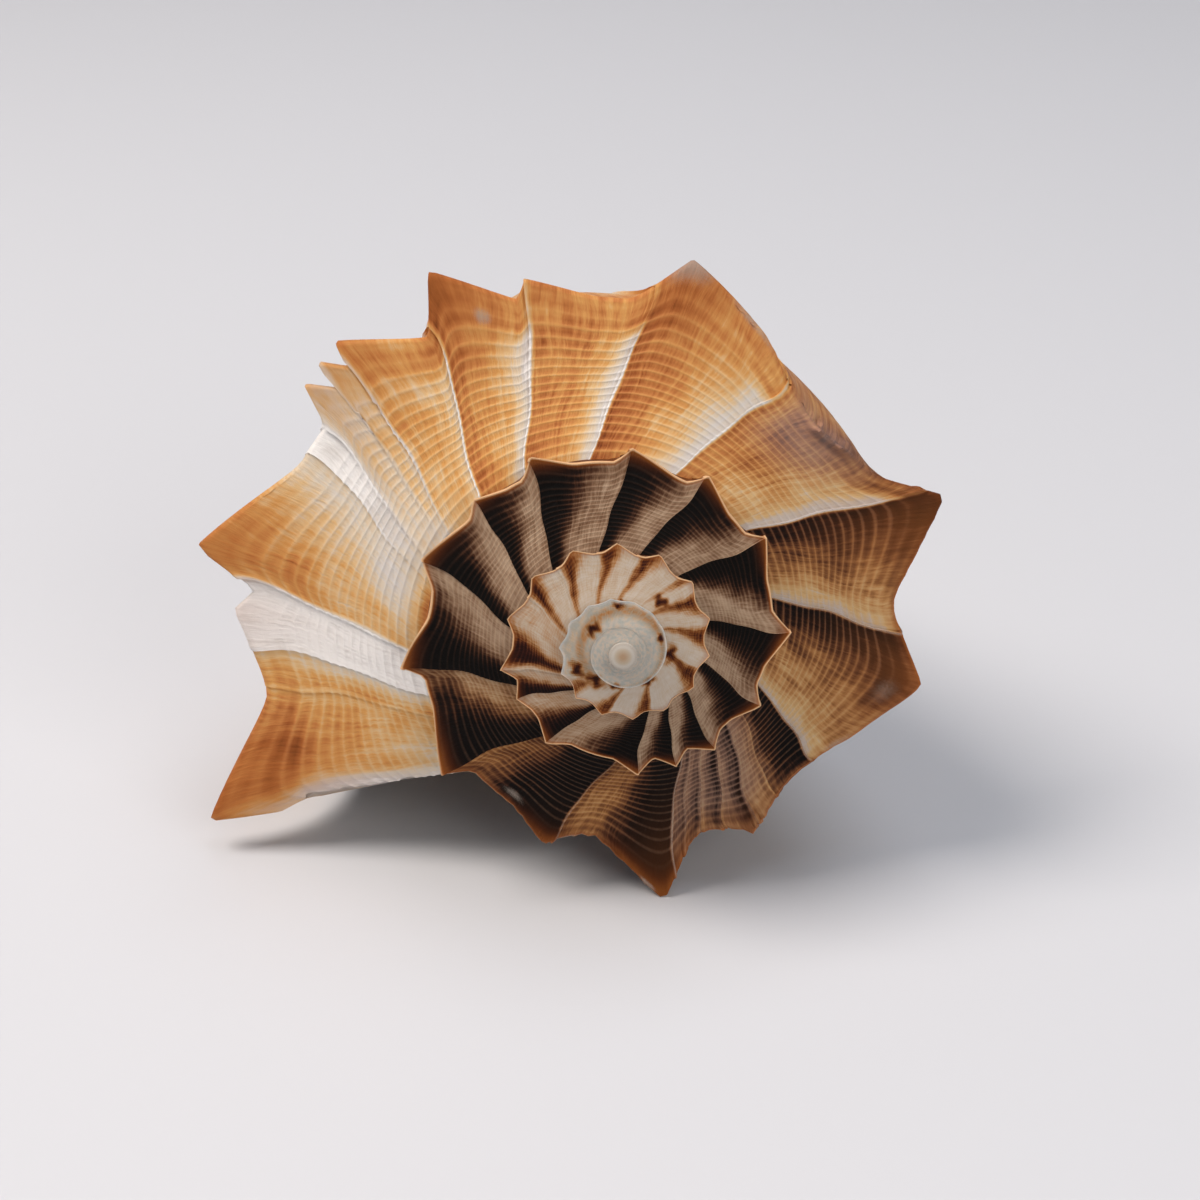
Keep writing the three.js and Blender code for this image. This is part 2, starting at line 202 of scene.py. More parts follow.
# Earlier turns: each pause, how dark its wedge is, the share of the season that it takes, the tone between.
WEDGES = [
    (-139, 1.12, 1.05, 0.36), (-169, 1.12, 0.85, 0.28), (-200, 1.12, 0.75, 0.26), (-222, 1, 0.7, 0.3),
    (-242, 1.05, 0.75, 0.34), (-272, 1.1, 0.8, 0.32), (-297, 1.12, 0.8, 0.32), (-325, 1.12, 0.8, 0.28),
    (-359, 1.12, 0.8, 0.28), (-388, 1.12, 0.8, 0.26), (-412, 1.1, 0.75, 0.26), (-428, 1.12, 0.8, 0.26),
    (-444, 1.1, 0.75, 0.24), (-485, 1.05, 0.62, 0.22), (-510, 1.05, 0.7, 0.2), (-526, 1, 0.6, 0.18),
    (-566, 0.9, 0.6, 0.12), (-590, 0.85, 0.62, 0.12), (-615, 0.9, 0.6, 0.12), (-639, 0.8, 0.56, 0.12),
    (-667, 0.85, 0.56, 0.12), (-681, 0.8, 0.7, 0.12), (-705, 0.8, 0.55, 0.1), (-736, 0.8, 0.45, 0.08),
    (-784, 0.8, 0.5, 0.08), (-819, 0.8, 0.5, 0.08), (-853, 0.7, 0.5, 0.08), (-885, 0.1, 0.2, 0.03),
    (-1700, 0, 0.2, 0.04),
]
# Growth before this has softer wedges.
SOFT_STREAKS_FROM = -520
# How grey and worn the ledge lines of the dark seasons are.
OLD_LEDGE_GREY = 0.62
# Red-brown flecks round the worn tip, above a height in mm: angle, distance from the axis in mm, size in mm.
FLECKS_ABOVE = -6
FLECKS = [
    (142, 3.9, 0.5), (205, 5.2, 0.55), (228, 4.4, 0.6), (258, 3.9, 0.35), (308, 4.3, 0.4), (353, 5.0, 0.55),
    (51, 6.3, 0.5), (95, 4.9, 0.35), (20, 4.2, 0.3),
]
# The worn disc round the apex, on growth before DISC_BEFORE: a faint brown ring and the tip's grey edge, each
# with its distance from the axis and its width in mm, the radius of the tip's own spot, and the width of the
# bright rim in across. The spot and the grey edge lie above a height in mm.
DISC_BEFORE = -870
DISC_RING = (4.4, 0.7)
TIP_EDGE = (1.35, 0.35)
TIP_SPOT = 0.85
TIP_ABOVE = -3
DISC_RIM_LINE = 0.06
# Stains and pale places: growth, across, width in degrees, height, depth of colour. The first, a wide pale
# place near the suture, is partly pale shell and partly a painted highlight.
STAINS_AND_PAINTED_HIGHLIGHT = [
    (158, -0.72, 15, 0.26, 0.06), (140, -0.82, 9, 0.2, 0.1), (183, -0.6, 9, 0.5, 0),
    (205, -0.8, 6, 0.25, 0.2), (204, -0.2, 4, 0.1, 0.76), (208, -0.03, 2, 0.04, 0.6),
    (160, -0.93, 9, 0.09, 0.6), (80, -0.13, 6, 0.09, 0.7), (120, -0.05, 2, 0.05, 0.75),
    (41, -0.05, 4, 0.05, 0.72), (45, -0.3, 6, 0.22, 0.62), (-15, -0.13, 5.5, 0.08, 0.88),
    (20, -0.04, 3, 0.06, 0.97),
]
# Worn places: growth, across, width in degrees, height, strength.
WORN_PLACES = [
    (79, -0.01, 6, 0.1, 0.74), (66, -0.01, 9, 0.05, 0.68), (114, -0.14, 2, 0.06, 0.75),
    (21, 0, 1.2, 0.02, 0.6), (-17, -0.12, 6, 0.11, 0.54), (-31, -0.03, 6, 0.06, 0.6),
    (-122, -0.1, 6, 0.06, 0.66), (-104, -0.01, 9, 0.025, 0.68), (-85, -0.02, 2, 0.03, 0.8),
    (42, -0.05, 5, 0.06, 0.5),
]

# Pattern sizes in millimetres on the last turn, along the growth and across it. The growth lines are long
# and about 0.4 mm apart. The crust's grains are too fine to show one by one, and only dull their patch.
GROWTH_LINES = (0.371, 4.72)
COLOUR_STREAKS = (0.927, 17)
COLOUR_CLOUDS = (8.24, 7.08)
GLAZE_STREAKS = (2.47, 17)
SIDE_THREADS_APART = 1.9
CRUST_GRAIN = 0.074

# The photograph's view: angles of the camera from the shell's axis, its distance from the apex in
# millimetres, and how far the apex lies from the picture's middle, in pixels of a lens of PHOTO_LENS_PIXELS.
CAMERA_ABOVE_AXIS = math.radians(17.26)
CAMERA_ASIDE = math.radians(-0.23)
CAMERA_FROM_APEX = 256.7
CAMERA_LENS = 75
CAMERA_SENSOR = 36
PHOTO_LENS_PIXELS = 2500
APEX_RIGHT = 23
APEX_BELOW = 57.9

# The floor in metres: a flat disc that bends up into a wall all round.
FLOOR_RADIUS = 1.1
FLOOR_BEND = 0.7
FLOOR_BEND_STEPS = 12
FLOOR_TOP = 1.5
FLOOR_COLUMNS = 96
FLOOR_BELOW = 0.00005
# The point that the lights are turned to, in metres.
LIGHTS_AIM = (0, 0, 0.03)

# Edges that turn by more than this are left sharp.
SHARP_FROM = math.radians(60)

# Stretches of growth over which the finish changes. Each name says what there is at its second end.
WARM_TONES = (10, 70)
BROWN_TONES = (-190, -130)
TAUPE_TONES = (-560, -440)
OFF_DISC = (-880, -860)
EARLY_THREADS = (-120, -160)
SHARP_THREADS = (-600, -450)
LILAC = (-84, -78)
LILAC_OVER = (-56, -46)
GREYED = (28, 40)
GREYED_OVER = (50, 55)
WHITE_LIP = (120, 212)

# The two finishes by their place on the mesh, and where the glaze starts on the side of the earlier turns.
OUTER = 0
GLAZE = 1
GLAZE_BEFORE = -146
GLAZE_DOWN_FROM = 0.16
# A face on the little step at a pause counts as newer, by this many degrees.
STEP_FACE_NEWER = 0.03


def keel_radius(angle):
    return LIP_RADIUS * TURN_RATIO ** ((angle - LIP_GROWTH) / 360)


def lead(across):
    on_ramp = SUTURE_LEAD * np.maximum(-across, 0) ** SUTURE_LEAD_POWER
    on_side = SIDE_LEAD * np.sin(np.pi * np.clip(across / SIDE_LEAD_DEPTH, 0, 1))
    return on_ramp + on_side


# From 0 at the start to 1 at the end, level at both.
def smooth(value, start, end):
    share = np.clip((value - start) / (end - start), 0, 1)
    return share * share * (3 - 2 * share)


# One fold of the keel: its reach at its tip, falling to nothing over its rise and its fall.
def swell(growth, roundness, at, reach, rise, fall):
    behind = at - growth
    away = np.where(behind > 0, behind / rise, -behind / fall)
    blunt = (np.sqrt(away * away + roundness**2) - roundness) / (np.sqrt(1 + roundness**2) - roundness)
    return reach * np.maximum(1 - blunt, 0) ** SPINE_SHARPNESS


KNOBS = [(at, *KNOB_SHAPE) for at in range(KNOB_FIRST, KNOB_LAST, -KNOB_STEP)]


# How far the keel stands out. Away from the keel the same fold has a rounder crest.
def spine_reach(growth, across):
    roundness = SPINE_TIP_ROUND + SPINE_ROUNDS_INWARD * np.maximum(-across, 0)
    out = np.max([swell(growth, roundness, *spine) for spine in SPINES + KNOBS], axis=0)
    inward = np.min([swell(growth, 0.5, *dent) for dent in DENTS], axis=0)
    return out * smooth(growth, -1100, -850) + inward


def spine_fade(across):
    on_ramp = (1 + np.minimum(across, 0)) ** SPINE_RAMP_POWER
    return np.where(across < 0, on_ramp, np.exp(-np.maximum(across, 0) / SPINE_SIDE_DEPTH))


def side_share(depth):
    taper = SIDE_CANAL + (1 - SIDE_CANAL) / (1 + (depth / SIDE_DEPTH) ** SIDE_POWER)
    return taper + SIDE_BULGE * np.sin(np.pi * np.clip(depth / SIDE_BULGE_DEPTH, 0, 1))


# Angle, radius and height of the bare skin for arrays of growth and across.
def rim_point(growth, across):
    angle = growth + lead(across)
    scale = keel_radius(angle)
    push = spine_reach(growth, across) * spine_fade(across)
    share = 1 + np.minimum(across, 0)
    ramp_radius = RAMP_START_RADIUS + (1 - RAMP_START_RADIUS) * share
    ramp_height = -RAMP_START_DROP - (SPIRE_SLOPE - RAMP_START_DROP) * share
    ramp_height = ramp_height - RAMP_SAG * np.sin(np.pi * share)
    on_side = across >= 0
    radius = np.where(on_side, side_share(np.maximum(across, 0)), ramp_radius) + push
    height = np.where(on_side, -SPIRE_SLOPE - across, ramp_height) + SPINE_LIFT * push
    return angle, radius * scale, height * scale


def place(angle, radius, height):
    turn = np.radians(angle)
    return np.stack([radius * np.cos(turn), radius * np.sin(turn), height * np.ones_like(turn)], axis=-1)


# Where a point lies among the cords, which crowd together half way across the ramp.
def cord_phase(across):
    share = np.clip(1 + across, 0, 1)
    return CORDS * share + CORD_BUNCHING * np.sin(2 * np.pi * (share - CORD_BUNCH_AT))


def cord_relief(growth, across):
    share = 1 + across
    worn_off = smooth(share, *CORD_FADE_OUT) * smooth(growth, -160, -120)
    fade = smooth(share, *CORD_FADE_IN) * (1 - worn_off) * (1 - smooth(share, 0.94, 0.99))
    beside = (cord_phase(across) + 0.5) % 1 - 0.5
    crest = np.exp(-((beside / 0.15) ** 2))
    young = smooth(growth, -760, -560) * (1 - 0.45 * smooth(-growth, 130, 170))
    return CORD_HEIGHT * crest * fade * young * (0.7 + 0.3 * np.sin(0.9 * growth + 40 * across))


def ledge_relief(growth):
    height = np.zeros_like(growth)
    for at, strength in PAUSES:
        newer = growth - at
        drop = -LEDGE_DROP * np.exp(-np.maximum(newer, 0) / LEDGE_HEALS_OVER)
        ridge = LEDGE_RIDGE * np.exp(-((np.minimum(newer, 0) / LEDGE_RIDGE_WIDTH) ** 2))
        height = height + strength * np.where(newer > 0, drop, ridge) * (np.abs(newer) < 30)
    return height


def fold_relief(growth, across):
    height = np.zeros_like(growth)
    for at, reach, *_ in SPINES:
        if at < FOLDS_FROM:
            continue
        height = height + reach / 0.2 * np.exp(-(((growth - at) / FOLD_WIDTH) ** 2))
    return FOLD_HEIGHT * height * np.where(across < 0, (1 + np.minimum(across, 0)) ** 4, 0)


def relief(growth, across):
    share = 1 + np.minimum(across, 0)
    ledges = ledge_relief(growth) * np.where(across < 0, 0.35 + 0.65 * share, np.exp(-across / 0.7))
    bead = RIM_BEAD * np.exp(-((across / RIM_BEAD_WIDTH) ** 2)) * (1 - smooth(growth, -190, -130))
    edge = -EDGE_ROUND * np.exp(-((across / EDGE_ROUND_WIDTH) ** 2)) * smooth(growth, -190, -130)
    size = keel_radius(growth + lead(across)) / LIP_RADIUS
    grown = cord_relief(growth, across) + ledges + fold_relief(growth, across) + bead + edge
    return grown * size**0.8 + wear_relief(growth, across)


# A growth line isn't quite even: it waves a little, and bulges a little on each cord.
def waver(growth, across):
    slow = 0.45 * np.sin(0.21 * growth + 9 * across) + 0.25 * np.sin(0.47 * growth - 17 * across + 1.3)
    scallop = 0.06 * np.cos(2 * np.pi * cord_phase(across)) * smooth(-across, 0.15, 0.3)
    return slow * smooth(1 + across, 0, 0.2) + scallop


# Old breaks that healed as lumps, and the nicks of a worn keel, in millimetres.
def wear_relief(growth, across):
    rough = np.sin(1.9 * growth + 14 * across) + np.sin(3.1 * growth - 23 * across + 2)
    rough = rough + np.sin(5.3 * growth + 1)
    near_keel = np.exp(-np.abs(across) / 0.05)
    height = NICK_DEPTH * rough * near_keel * np.interp(growth, [-140, -110, 60, 80], [0, 1, 1, 0.3])
    for at, down, width, tall, lump in LUMPS:
        near = ((growth - at) / width) ** 2 + ((across - down) / tall) ** 2
        height = height + lump * (1 + 0.25 * rough) * np.exp(-near)
    return height


# Small chips that have broken out of the lip's edge, in degrees of growth.
def lip_chips(growth, across):
    gaps = np.maximum(np.sin(39 * across + 1) * np.sin(17 * across + 2), 0) ** 0.7
    return LIP_CHIP * gaps * smooth(growth, LIP_GROWTH - 3, LIP_GROWTH)


# The finished skin: the bare skin moved out along its own normal by the relief.
def skin_points(label, across):
    growth = label + waver(label, across) - lip_chips(label, across)
    step_growth = 0.05
    step_across = 0.0005
    here = place(*rim_point(growth, across))
    ahead = place(*rim_point(growth + step_growth, across)) - place(*rim_point(growth - step_growth, across))
    inner = np.where(across == 0, across, across + step_across)
    down = place(*rim_point(growth, inner)) - place(*rim_point(growth, across - step_across))
    normal = np.cross(ahead, down)
    normal = -normal / np.linalg.norm(normal, axis=-1, keepdims=True)
    return here + normal * relief(label, across)[..., None]


def side_depths(growth, depths):
    tip = np.minimum(SHELL_LENGTH / keel_radius(growth) - SPIRE_SLOPE, DEEPEST_SIDE)
    return tip[:, None] * depths[None, :]


# Columns across the ramp, in step with the cords, then a few round the keel's edge.
def ramp_columns(per_cord):
    even = np.linspace(-1, -0.03, 400)
    phases = cord_phase(even)
    wanted = np.arange(math.ceil(phases[0] * per_cord) / per_cord, phases[-1], 1 / per_cord)
    return np.concatenate([[-1], np.interp(wanted, phases, even), [-0.022, -0.012, -0.005]])


def side_columns(count):
    share = np.linspace(0, 1, count)
    return np.concatenate([[0, 0.0015, 0.004, 0.008], 0.012 + 0.988 * share**1.35])


# Growth of each ring: evenly spaced, with more at the pauses and one on each spine's tip.
def ring_angles(start, end, step):
    count = int(math.ceil((end - start) / step))
    angles = list(np.linspace(start, end, count + 1))
    for at, _ in PAUSES:
        if start + 1 < at < end - 1:
            around = RINGS_AT_PAUSE if at > OLD_PAUSE_BEFORE else RINGS_AT_OLD_PAUSE
            angles += [at + step_away for step_away in around]
    for at, *_ in SPINES:
        if start + 1 < at < end - 1:
            angles.append(at)
    angles = sorted(angles)
    kept = [angles[0]]
    for angle in angles[1:]:
        if angle - kept[-1] > 0.08 or angle == angles[-1]:
            kept.append(angle)
    return np.array(kept)


# One property of everything in a mesh's list, as an array.
def values_of(items, name, width=1, kind=float):
    values = np.zeros(len(items) * width, kind)
    items.foreach_get(name, values)
    if width > 1:
        values = values.reshape(-1, width)
    return values


# A closed mesh object through rings of points, with the two ends filled. Each corner keeps its growth and
# across.
def loft(name, points, growth, across, finish):
    rings, count = growth.shape
    index = np.arange(rings * count).reshape(rings, count)
    a = index[:-1, :]
    b = np.roll(index, -1, axis=1)[:-1, :]
    c = np.roll(index, -1, axis=1)[1:, :]
    d = index[1:, :]
    quads = np.stack([a, b, c, d], axis=-1).reshape(-1, 4)
    faces = [tuple(quad) for quad in quads.tolist()]
    faces.append(tuple(index[0, ::-1].tolist()))
    faces.append(tuple(index[-1, :].tolist()))
    mesh = bpy.data.meshes.new(name)
    mesh.from_pydata(points.reshape(-1, 3).tolist(), [], faces)
    corner = values_of(mesh.loops, "vertex_index", 1, np.int32)
    skin = mesh.attributes.new("skin", "FLOAT2", "CORNER")
    values = np.stack([growth.reshape(-1)[corner], across.reshape(-1)[corner]], axis=-1)
    skin.data.foreach_set("vector", values.astype(np.float32).ravel())
    for material in FINISHES:
        mesh.materials.append(material)
    mesh.polygons.foreach_set("material_index", np.full(len(mesh.polygons), finish, np.int32))
    piece = bpy.data.objects.new(name, mesh)
    bpy.context.scene.collection.objects.link(piece)
    return piece


# One stretch of turns, filled from the skin in to the axis.
def whorl(name, start, end, step, per_cord, side_count):
    growth = ring_angles(start, end, step)
    ramp = ramp_columns(per_cord)
    depths = side_depths(growth, side_columns(side_count))
    across = np.concatenate([np.repeat(ramp[None, :], len(growth), axis=0), depths], axis=1)
    grid = np.repeat(growth[:, None], across.shape[1], axis=1)
    points = skin_points(grid, across)
    angle, radius, height = rim_point(grid, across)
    axis = AXIS_SHARE * keel_radius(growth)
    low = place(angle[:, -1], axis, height[:, -1])
    high = place(angle[:, 0], axis, height[:, 0])
    points = np.concatenate([points, low[:, None], high[:, None]], axis=1)
    grid = np.concatenate([grid, grid[:, -2:]], axis=1)
    across = np.concatenate([across, across[:, -1:], across[:, :1]], axis=1)
    return loft(name, points, grid, across, OUTER)


# The room inside: the skin moved in by the wall, from past the lip back to where the room ends.
def hollow(name):
    growth = np.arange(LIP_GROWTH - HOLLOW_TURN, LIP_GROWTH + ROOM_PAST_LIP + 0.1, ROOM_STEP)
    ramp = np.linspace(-1, -0.06, 14)
    side = np.linspace(0.05, HOLLOW_SIDE, 26)
    across = np.repeat(np.concatenate([ramp, side])[None, :], len(growth), axis=0)
    grid = np.repeat(growth[:, None], across.shape[1], axis=1)
    angle, radius, height = rim_point(grid, across)
    scale = keel_radius(grid)
    thin = smooth(grid, LIP_GROWTH - LIP_THINS_OVER, LIP_GROWTH)
    wall = (WALL + (LIP_EDGE_WALL - WALL) * thin) * scale / LIP_RADIUS
    radius = radius - SOLID_SPINE * spine_reach(grid, across) * spine_fade(across) * scale
    radius = radius - wall * np.where(across < 0, RAMP_WALL_INWARD * (1 + across), 1)
    height = height - np.where(across < 0, RAMP_WALL_DOWN * wall, 0)
    points = place(angle, radius, height)
    axis = 2 * AXIS_SHARE * keel_radius(growth)
    low = place(growth, axis, -(SPIRE_SLOPE + HOLLOW_AXIS) * keel_radius(growth))
    high = place(angle[:, 0], axis, height[:, 0])
    points = np.concatenate([points, low[:, None], high[:, None]], axis=1)
    grid = np.concatenate([grid, grid[:, -2:]], axis=1)
    across = np.concatenate([across, across[:, -2:]], axis=1)
    return loft(name, points, grid, across, GLAZE)


# The canal's open groove: round at the bottom and open on the mouth's side.
def groove(name):
    rings = []
    for share in np.linspace(0, 1, GROOVE_RINGS):
        z = GROOVE_TOP + (-SHELL_LENGTH - GROOVE_PAST_TIP - GROOVE_TOP) * share
        depth = -max(z, -SHELL_LENGTH) / LIP_RADIUS - SPIRE_SLOPE
        outer = float(side_share(np.array(depth))) * LIP_RADIUS - GROOVE_WALL
        inner = GROOVE_INNER + (GROOVE_INNER_TIP - GROOVE_INNER) * share**GROOVE_NARROWING
        middle = (outer + inner) / 2
        half = (outer - inner) / 2
        ring = []
        for turn in np.linspace(np.pi, 2 * np.pi, GROOVE_ARC_POINTS):
            ring.append((middle + half * math.cos(turn), GROOVE_DEPTH * half * math.sin(turn), z))
        ring += [(outer, GROOVE_OPEN, z), (inner, GROOVE_OPEN, z)]
        rings.append(ring)
    points = np.array(rings[::-1])
    turn = math.radians(LIP_GROWTH)
    x = points[..., 0] * math.cos(turn) - points[..., 1] * math.sin(turn)
    y = points[..., 0] * math.sin(turn) + points[..., 1] * math.cos(turn)
    points = np.stack([x, y, points[..., 2]], axis=-1)
    flat = np.zeros(points.shape[:2])
    return loft(name, points, flat + LIP_GROWTH, flat + 1, GLAZE)


# Rings of points for a form turned round the axis.
def turned_form(radii, heights, columns):
    turn = np.linspace(0, 2 * np.pi, columns, endpoint=False)
    return np.stack([
        radii[:, None] * np.cos(turn)[None, :],
        radii[:, None] * np.sin(turn)[None, :],
        np.repeat(heights[:, None], columns, axis=1),
    ], axis=-1)


def columella(name):
    heights = np.linspace(COLUMELLA[0][1], COLUMELLA[-1][1], COLUMELLA_RINGS)
    radii = np.interp(-heights, [-z for _, z in COLUMELLA], [radius for radius, _ in COLUMELLA])
    for _ in range(COLUMELLA_SMOOTHINGS):
        radii[1:-1] = (radii[:-2] + radii[1:-1] + radii[2:]) / 3
    points = turned_form(radii, heights, COLUMELLA_COLUMNS)
    flat = np.zeros(points.shape[:2])
    return loft(name, points[::-1], flat + COLUMELLA_GROWTH, flat + 1, GLAZE)


# The flattened ball that the spiral starts from.
def nucleus(name):
    levels = np.linspace(-0.99, 0.99, NUCLEUS_RINGS)
    radii = NUCLEUS_RADIUS * np.sqrt(1 - levels**2)
    heights = NUCLEUS_RADIUS * (NUCLEUS_HALF_HEIGHT * levels - NUCLEUS_DROP)
    points = turned_form(radii, heights, NUCLEUS_COLUMNS)
    flat = np.zeros(points.shape[:2])
    return loft(name, points, flat + FIRST_GROWTH, flat - 0.5, OUTER)


# Six times the volume inside a mesh, below 0 where its faces look inwards.
def signed_volume(mesh):
    points = values_of(mesh.vertices, "co", 3)
    mesh.calc_loop_triangles()
    a, b, c = points[values_of(mesh.loop_triangles, "vertices", 3, np.int32)].transpose(1, 0, 2)
    return np.einsum("ij,ij->i", a, np.cross(b, c)).sum()


def facing_out(piece):
    if signed_volume(piece.data) < 0:
        piece.data.flip_normals()
    return piece


def combine(base, other, operation):
    modifier = base.modifiers.new(operation.lower(), "BOOLEAN")
    modifier.operation = operation
    modifier.solver = "MANIFOLD"
    modifier.object = other
    depsgraph = bpy.context.evaluated_depsgraph_get()
    mesh = bpy.data.meshes.new_from_object(base.evaluated_get(depsgraph))
    base.modifiers.clear()
    base.data = mesh
    bpy.data.objects.remove(other)


# The whole shell: the last turn hollowed, the earlier turns, the columella, the nucleus, and the canal cut.
def shell_piece():
    last_start = LIP_GROWTH - LAST_BODY_TURN
    shell = facing_out(whorl("shell_skin", last_start, LIP_GROWTH, *LAST_TURN_MESH))
    combine(shell, facing_out(hollow("room")), "DIFFERENCE")
    end = last_start
    for fineness in EARLIER_TURN_MESHES:
        start = max(end - LAST_BODY_TURN, FIRST_GROWTH)
        combine(shell, facing_out(whorl("turn", start, end, *fineness)), "UNION")
        end = start
    combine(shell, facing_out(columella("columella")), "UNION")
    combine(shell, facing_out(nucleus("nucleus")), "UNION")
    combine(shell, facing_out(groove("groove")), "DIFFERENCE")
    return shell


# The frame that the shell lies in: canal leaned, apex raised by the tilt.
def laid(points):
    share = np.clip((-points[..., 2] - CANAL_BEND_FROM) / (SHELL_LENGTH - CANAL_BEND_FROM), 0, None) ** 2
    side = math.radians(LIP_GROWTH)
    away = math.radians(LIP_GROWTH - 90)
    x = points[..., 0] + share * (CANAL_BEND_SIDE * math.cos(side) + CANAL_BEND_BACK * math.cos(away))
    y = points[..., 1] + share * (CANAL_BEND_SIDE * math.sin(side) + CANAL_BEND_BACK * math.sin(away))
    z = points[..., 2]
    turn = math.pi / 2 - REST_TILT
    return np.stack([x, y * math.cos(turn) - z * math.sin(turn), y * math.sin(turn) + z * math.cos(turn)], -1)


# How far the laid shell moves to stand centred on the origin, with its worn flat on the floor.
def resting_shift():
    growth, across = np.meshgrid(np.arange(-148, LIP_GROWTH + 0.01, 0.5), np.linspace(-0.5, 3, 400))
    deepest = SHELL_LENGTH / keel_radius(growth) - SPIRE_SLOPE
    points = laid(place(*rim_point(growth, np.minimum(across, deepest))))
    nose = laid(np.array([[0, 0, NUCLEUS_RADIUS * (1 - SPIRE_SLOPE)]]))
    everything = np.concatenate([points.reshape(-1, 3), nose])
    low = everything.min(axis=0)
    high = everything.max(axis=0)
    return np.array([-(low[0] + high[0]) / 2, -(low[1] + high[1]) / 2, -low[2] - WORN_FLAT])


# Only the biggest closed body stays, because a cut can leave a crumb.
def keep_biggest(piece):
    mesh = piece.data
    edges = values_of(mesh.edges, "vertices", 2, np.int32)
    label = np.arange(len(mesh.vertices))
    while True:
        lowest = np.minimum(label[edges[:, 0]], label[edges[:, 1]])
        new = label.copy()
        np.minimum.at(new, edges[:, 0], lowest)
        np.minimum.at(new, edges[:, 1], lowest)
        new = np.minimum(new, new[new])
        if np.array_equal(new, label):
            break
        label = new
    names, counts = np.unique(label, return_counts=True)
    main = names[counts.argmax()]
    if len(names) > 1:
        work = bmesh.new()
        work.from_mesh(mesh)
        work.verts.ensure_lookup_table()
        crumbs = [work.verts[i] for i in np.flatnonzero(label != main).tolist()]
        bmesh.ops.delete(work, geom=crumbs, context="VERTS")
        work.to_mesh(mesh)
        work.free()


def lay_down(piece):
    mesh = piece.data
    points = laid(values_of(mesh.vertices, "co", 3)) + resting_shift()
    points[:, 2] = np.maximum(points[:, 2], 0)
    mesh.vertices.foreach_set("co", (points * MM).ravel())
    mesh.update()


# Depth of colour on the last turn, read between the jumps on either side of the face.
def last_turn_depth(growth, middle):
    angles = np.array([at for at, _ in LAST_TURN_SHADES], float)
    depths = np.array([depth for _, depth in LAST_TURN_SHADES])
    jumps = angles[1:][np.diff(angles) == 0]
    angles[1:][np.diff(angles) == 0] += 0.001
    below = np.concatenate([[LAST_TURN_FROM], jumps])[np.searchsorted(jumps, middle)]
    above = np.concatenate([jumps, [LAST_TURN_TO]])[np.searchsorted(jumps, middle)]
    inside = np.clip(growth, below + 0.001, above)
    return np.interp(inside, angles, depths)


# Depth of colour on the earlier turns: a dark wedge on the older side of each pause, widest at the keel.
def wedge_depth(growth, across, middle):
    depth = np.full_like(growth, 0.04)
    share = np.clip(1 + across, 0, 1)
    for (at, dark, part, between), (older, *rest) in zip(WEDGES, WEDGES[1:]):
        season = (middle <= at) & (middle > older)
        behind = (at - growth) / ((at - older) * part * (0.35 + 0.85 * share**1.2))
        sharp = smooth(at - growth, -0.1, 0.1 if at > SOFT_STREAKS_FROM else 7)
        wedge = between + (dark - between) * (1 - smooth(behind, 0.1, 1.15)) * sharp
        depth = np.where(season, wedge, depth)
    return depth


# The pale line of each ledge, on its older side.
def ledge_line(growth, middle):
    line = np.zeros_like(growth)
    for at, strength in PAUSES:
        older = (middle < at) & (middle > at - 3)
        line = np.maximum(line, older * min(strength * 1.15, 1) * np.exp(-(((at - growth) / 0.8) ** 4)))
    return line * smooth(growth, -140, -100)


# An oval patch on the skin: 1 at its middle, falling to 0 round it.
def patch(growth, across, at, down, width, height):
    return np.exp(-(((growth - at) / width) ** 2 + ((across - down) / height) ** 2))


# Marks on the worn disc, in space round the axis: a ring, the tip's spot and the flecks.
def disc_depth(points, middle):
    x, y, z = points.T
    from_axis = np.hypot(x, y)
    ring = np.exp(-(((from_axis - DISC_RING[0]) / DISC_RING[1]) ** 2)) * (middle < DISC_BEFORE)
    tip = np.exp(-((from_axis / TIP_SPOT) ** 4)) * (z > TIP_ABOVE)
    depth = np.maximum(0.26 * ring, 0.22 * tip)
    for angle, distance, size in FLECKS:
        turn = math.radians(angle)
        along = (y * math.cos(turn) - x * math.sin(turn)) / (1.7 * size)
        outward = (x * math.cos(turn) + y * math.sin(turn) - distance) / size
        near = np.hypot(along, outward + 0.4 * np.sin(5 * along + angle)) / 1.1
        depth = np.maximum(depth, 0.85 * np.exp(-(near**2)) * (z > FLECKS_ABOVE))
    return depth


def depth_mask(growth, across, middle, points):
    last_turn = middle > LAST_TURN_FROM
    depth = np.where(last_turn, last_turn_depth(growth, middle), wedge_depth(growth, across, middle))
    ages, amounts, tones = np.array(KEEL_TONES).T
    share = np.clip(1 + across, 0, 1)
    worn_from = 0.88 - 0.14 * smooth(growth, 10, 40)
    keel = np.interp(growth, ages, amounts) * smooth(share, worn_from, worn_from + 0.12) * last_turn
    keel = keel * np.exp(-np.maximum(across, 0) / 0.25)
    depth = depth + keel * (np.interp(growth, ages, tones) - depth)
    whiter = np.interp(growth, [0, 30], [0.6, 1.1])
    depth = depth * np.clip(1 - whiter * ledge_line(growth, middle) * (1 - 0.6 * keel), 0, 1)
    # Stains, and one pale place near the suture that is partly a painted highlight.
    for *oval, patch_tone in STAINS_AND_PAINTED_HIGHLIGHT:
        depth = depth + patch(growth, across, *oval) * (patch_tone - depth)
    return np.maximum(depth, disc_depth(points, middle))


def spine_mask(growth, across, middle):
    spine = np.clip(spine_reach(growth, across) * spine_fade(across) / 0.14, 0, 1)
    ages = [LAST_TURN_FROM, -90, -60, 0, 12, 22, 30, 60]
    return spine * np.interp(growth, ages, [0, 0.1, 0.35, 0.6, 1, 0.3, 0.3, 1]) * (middle > LAST_TURN_FROM)


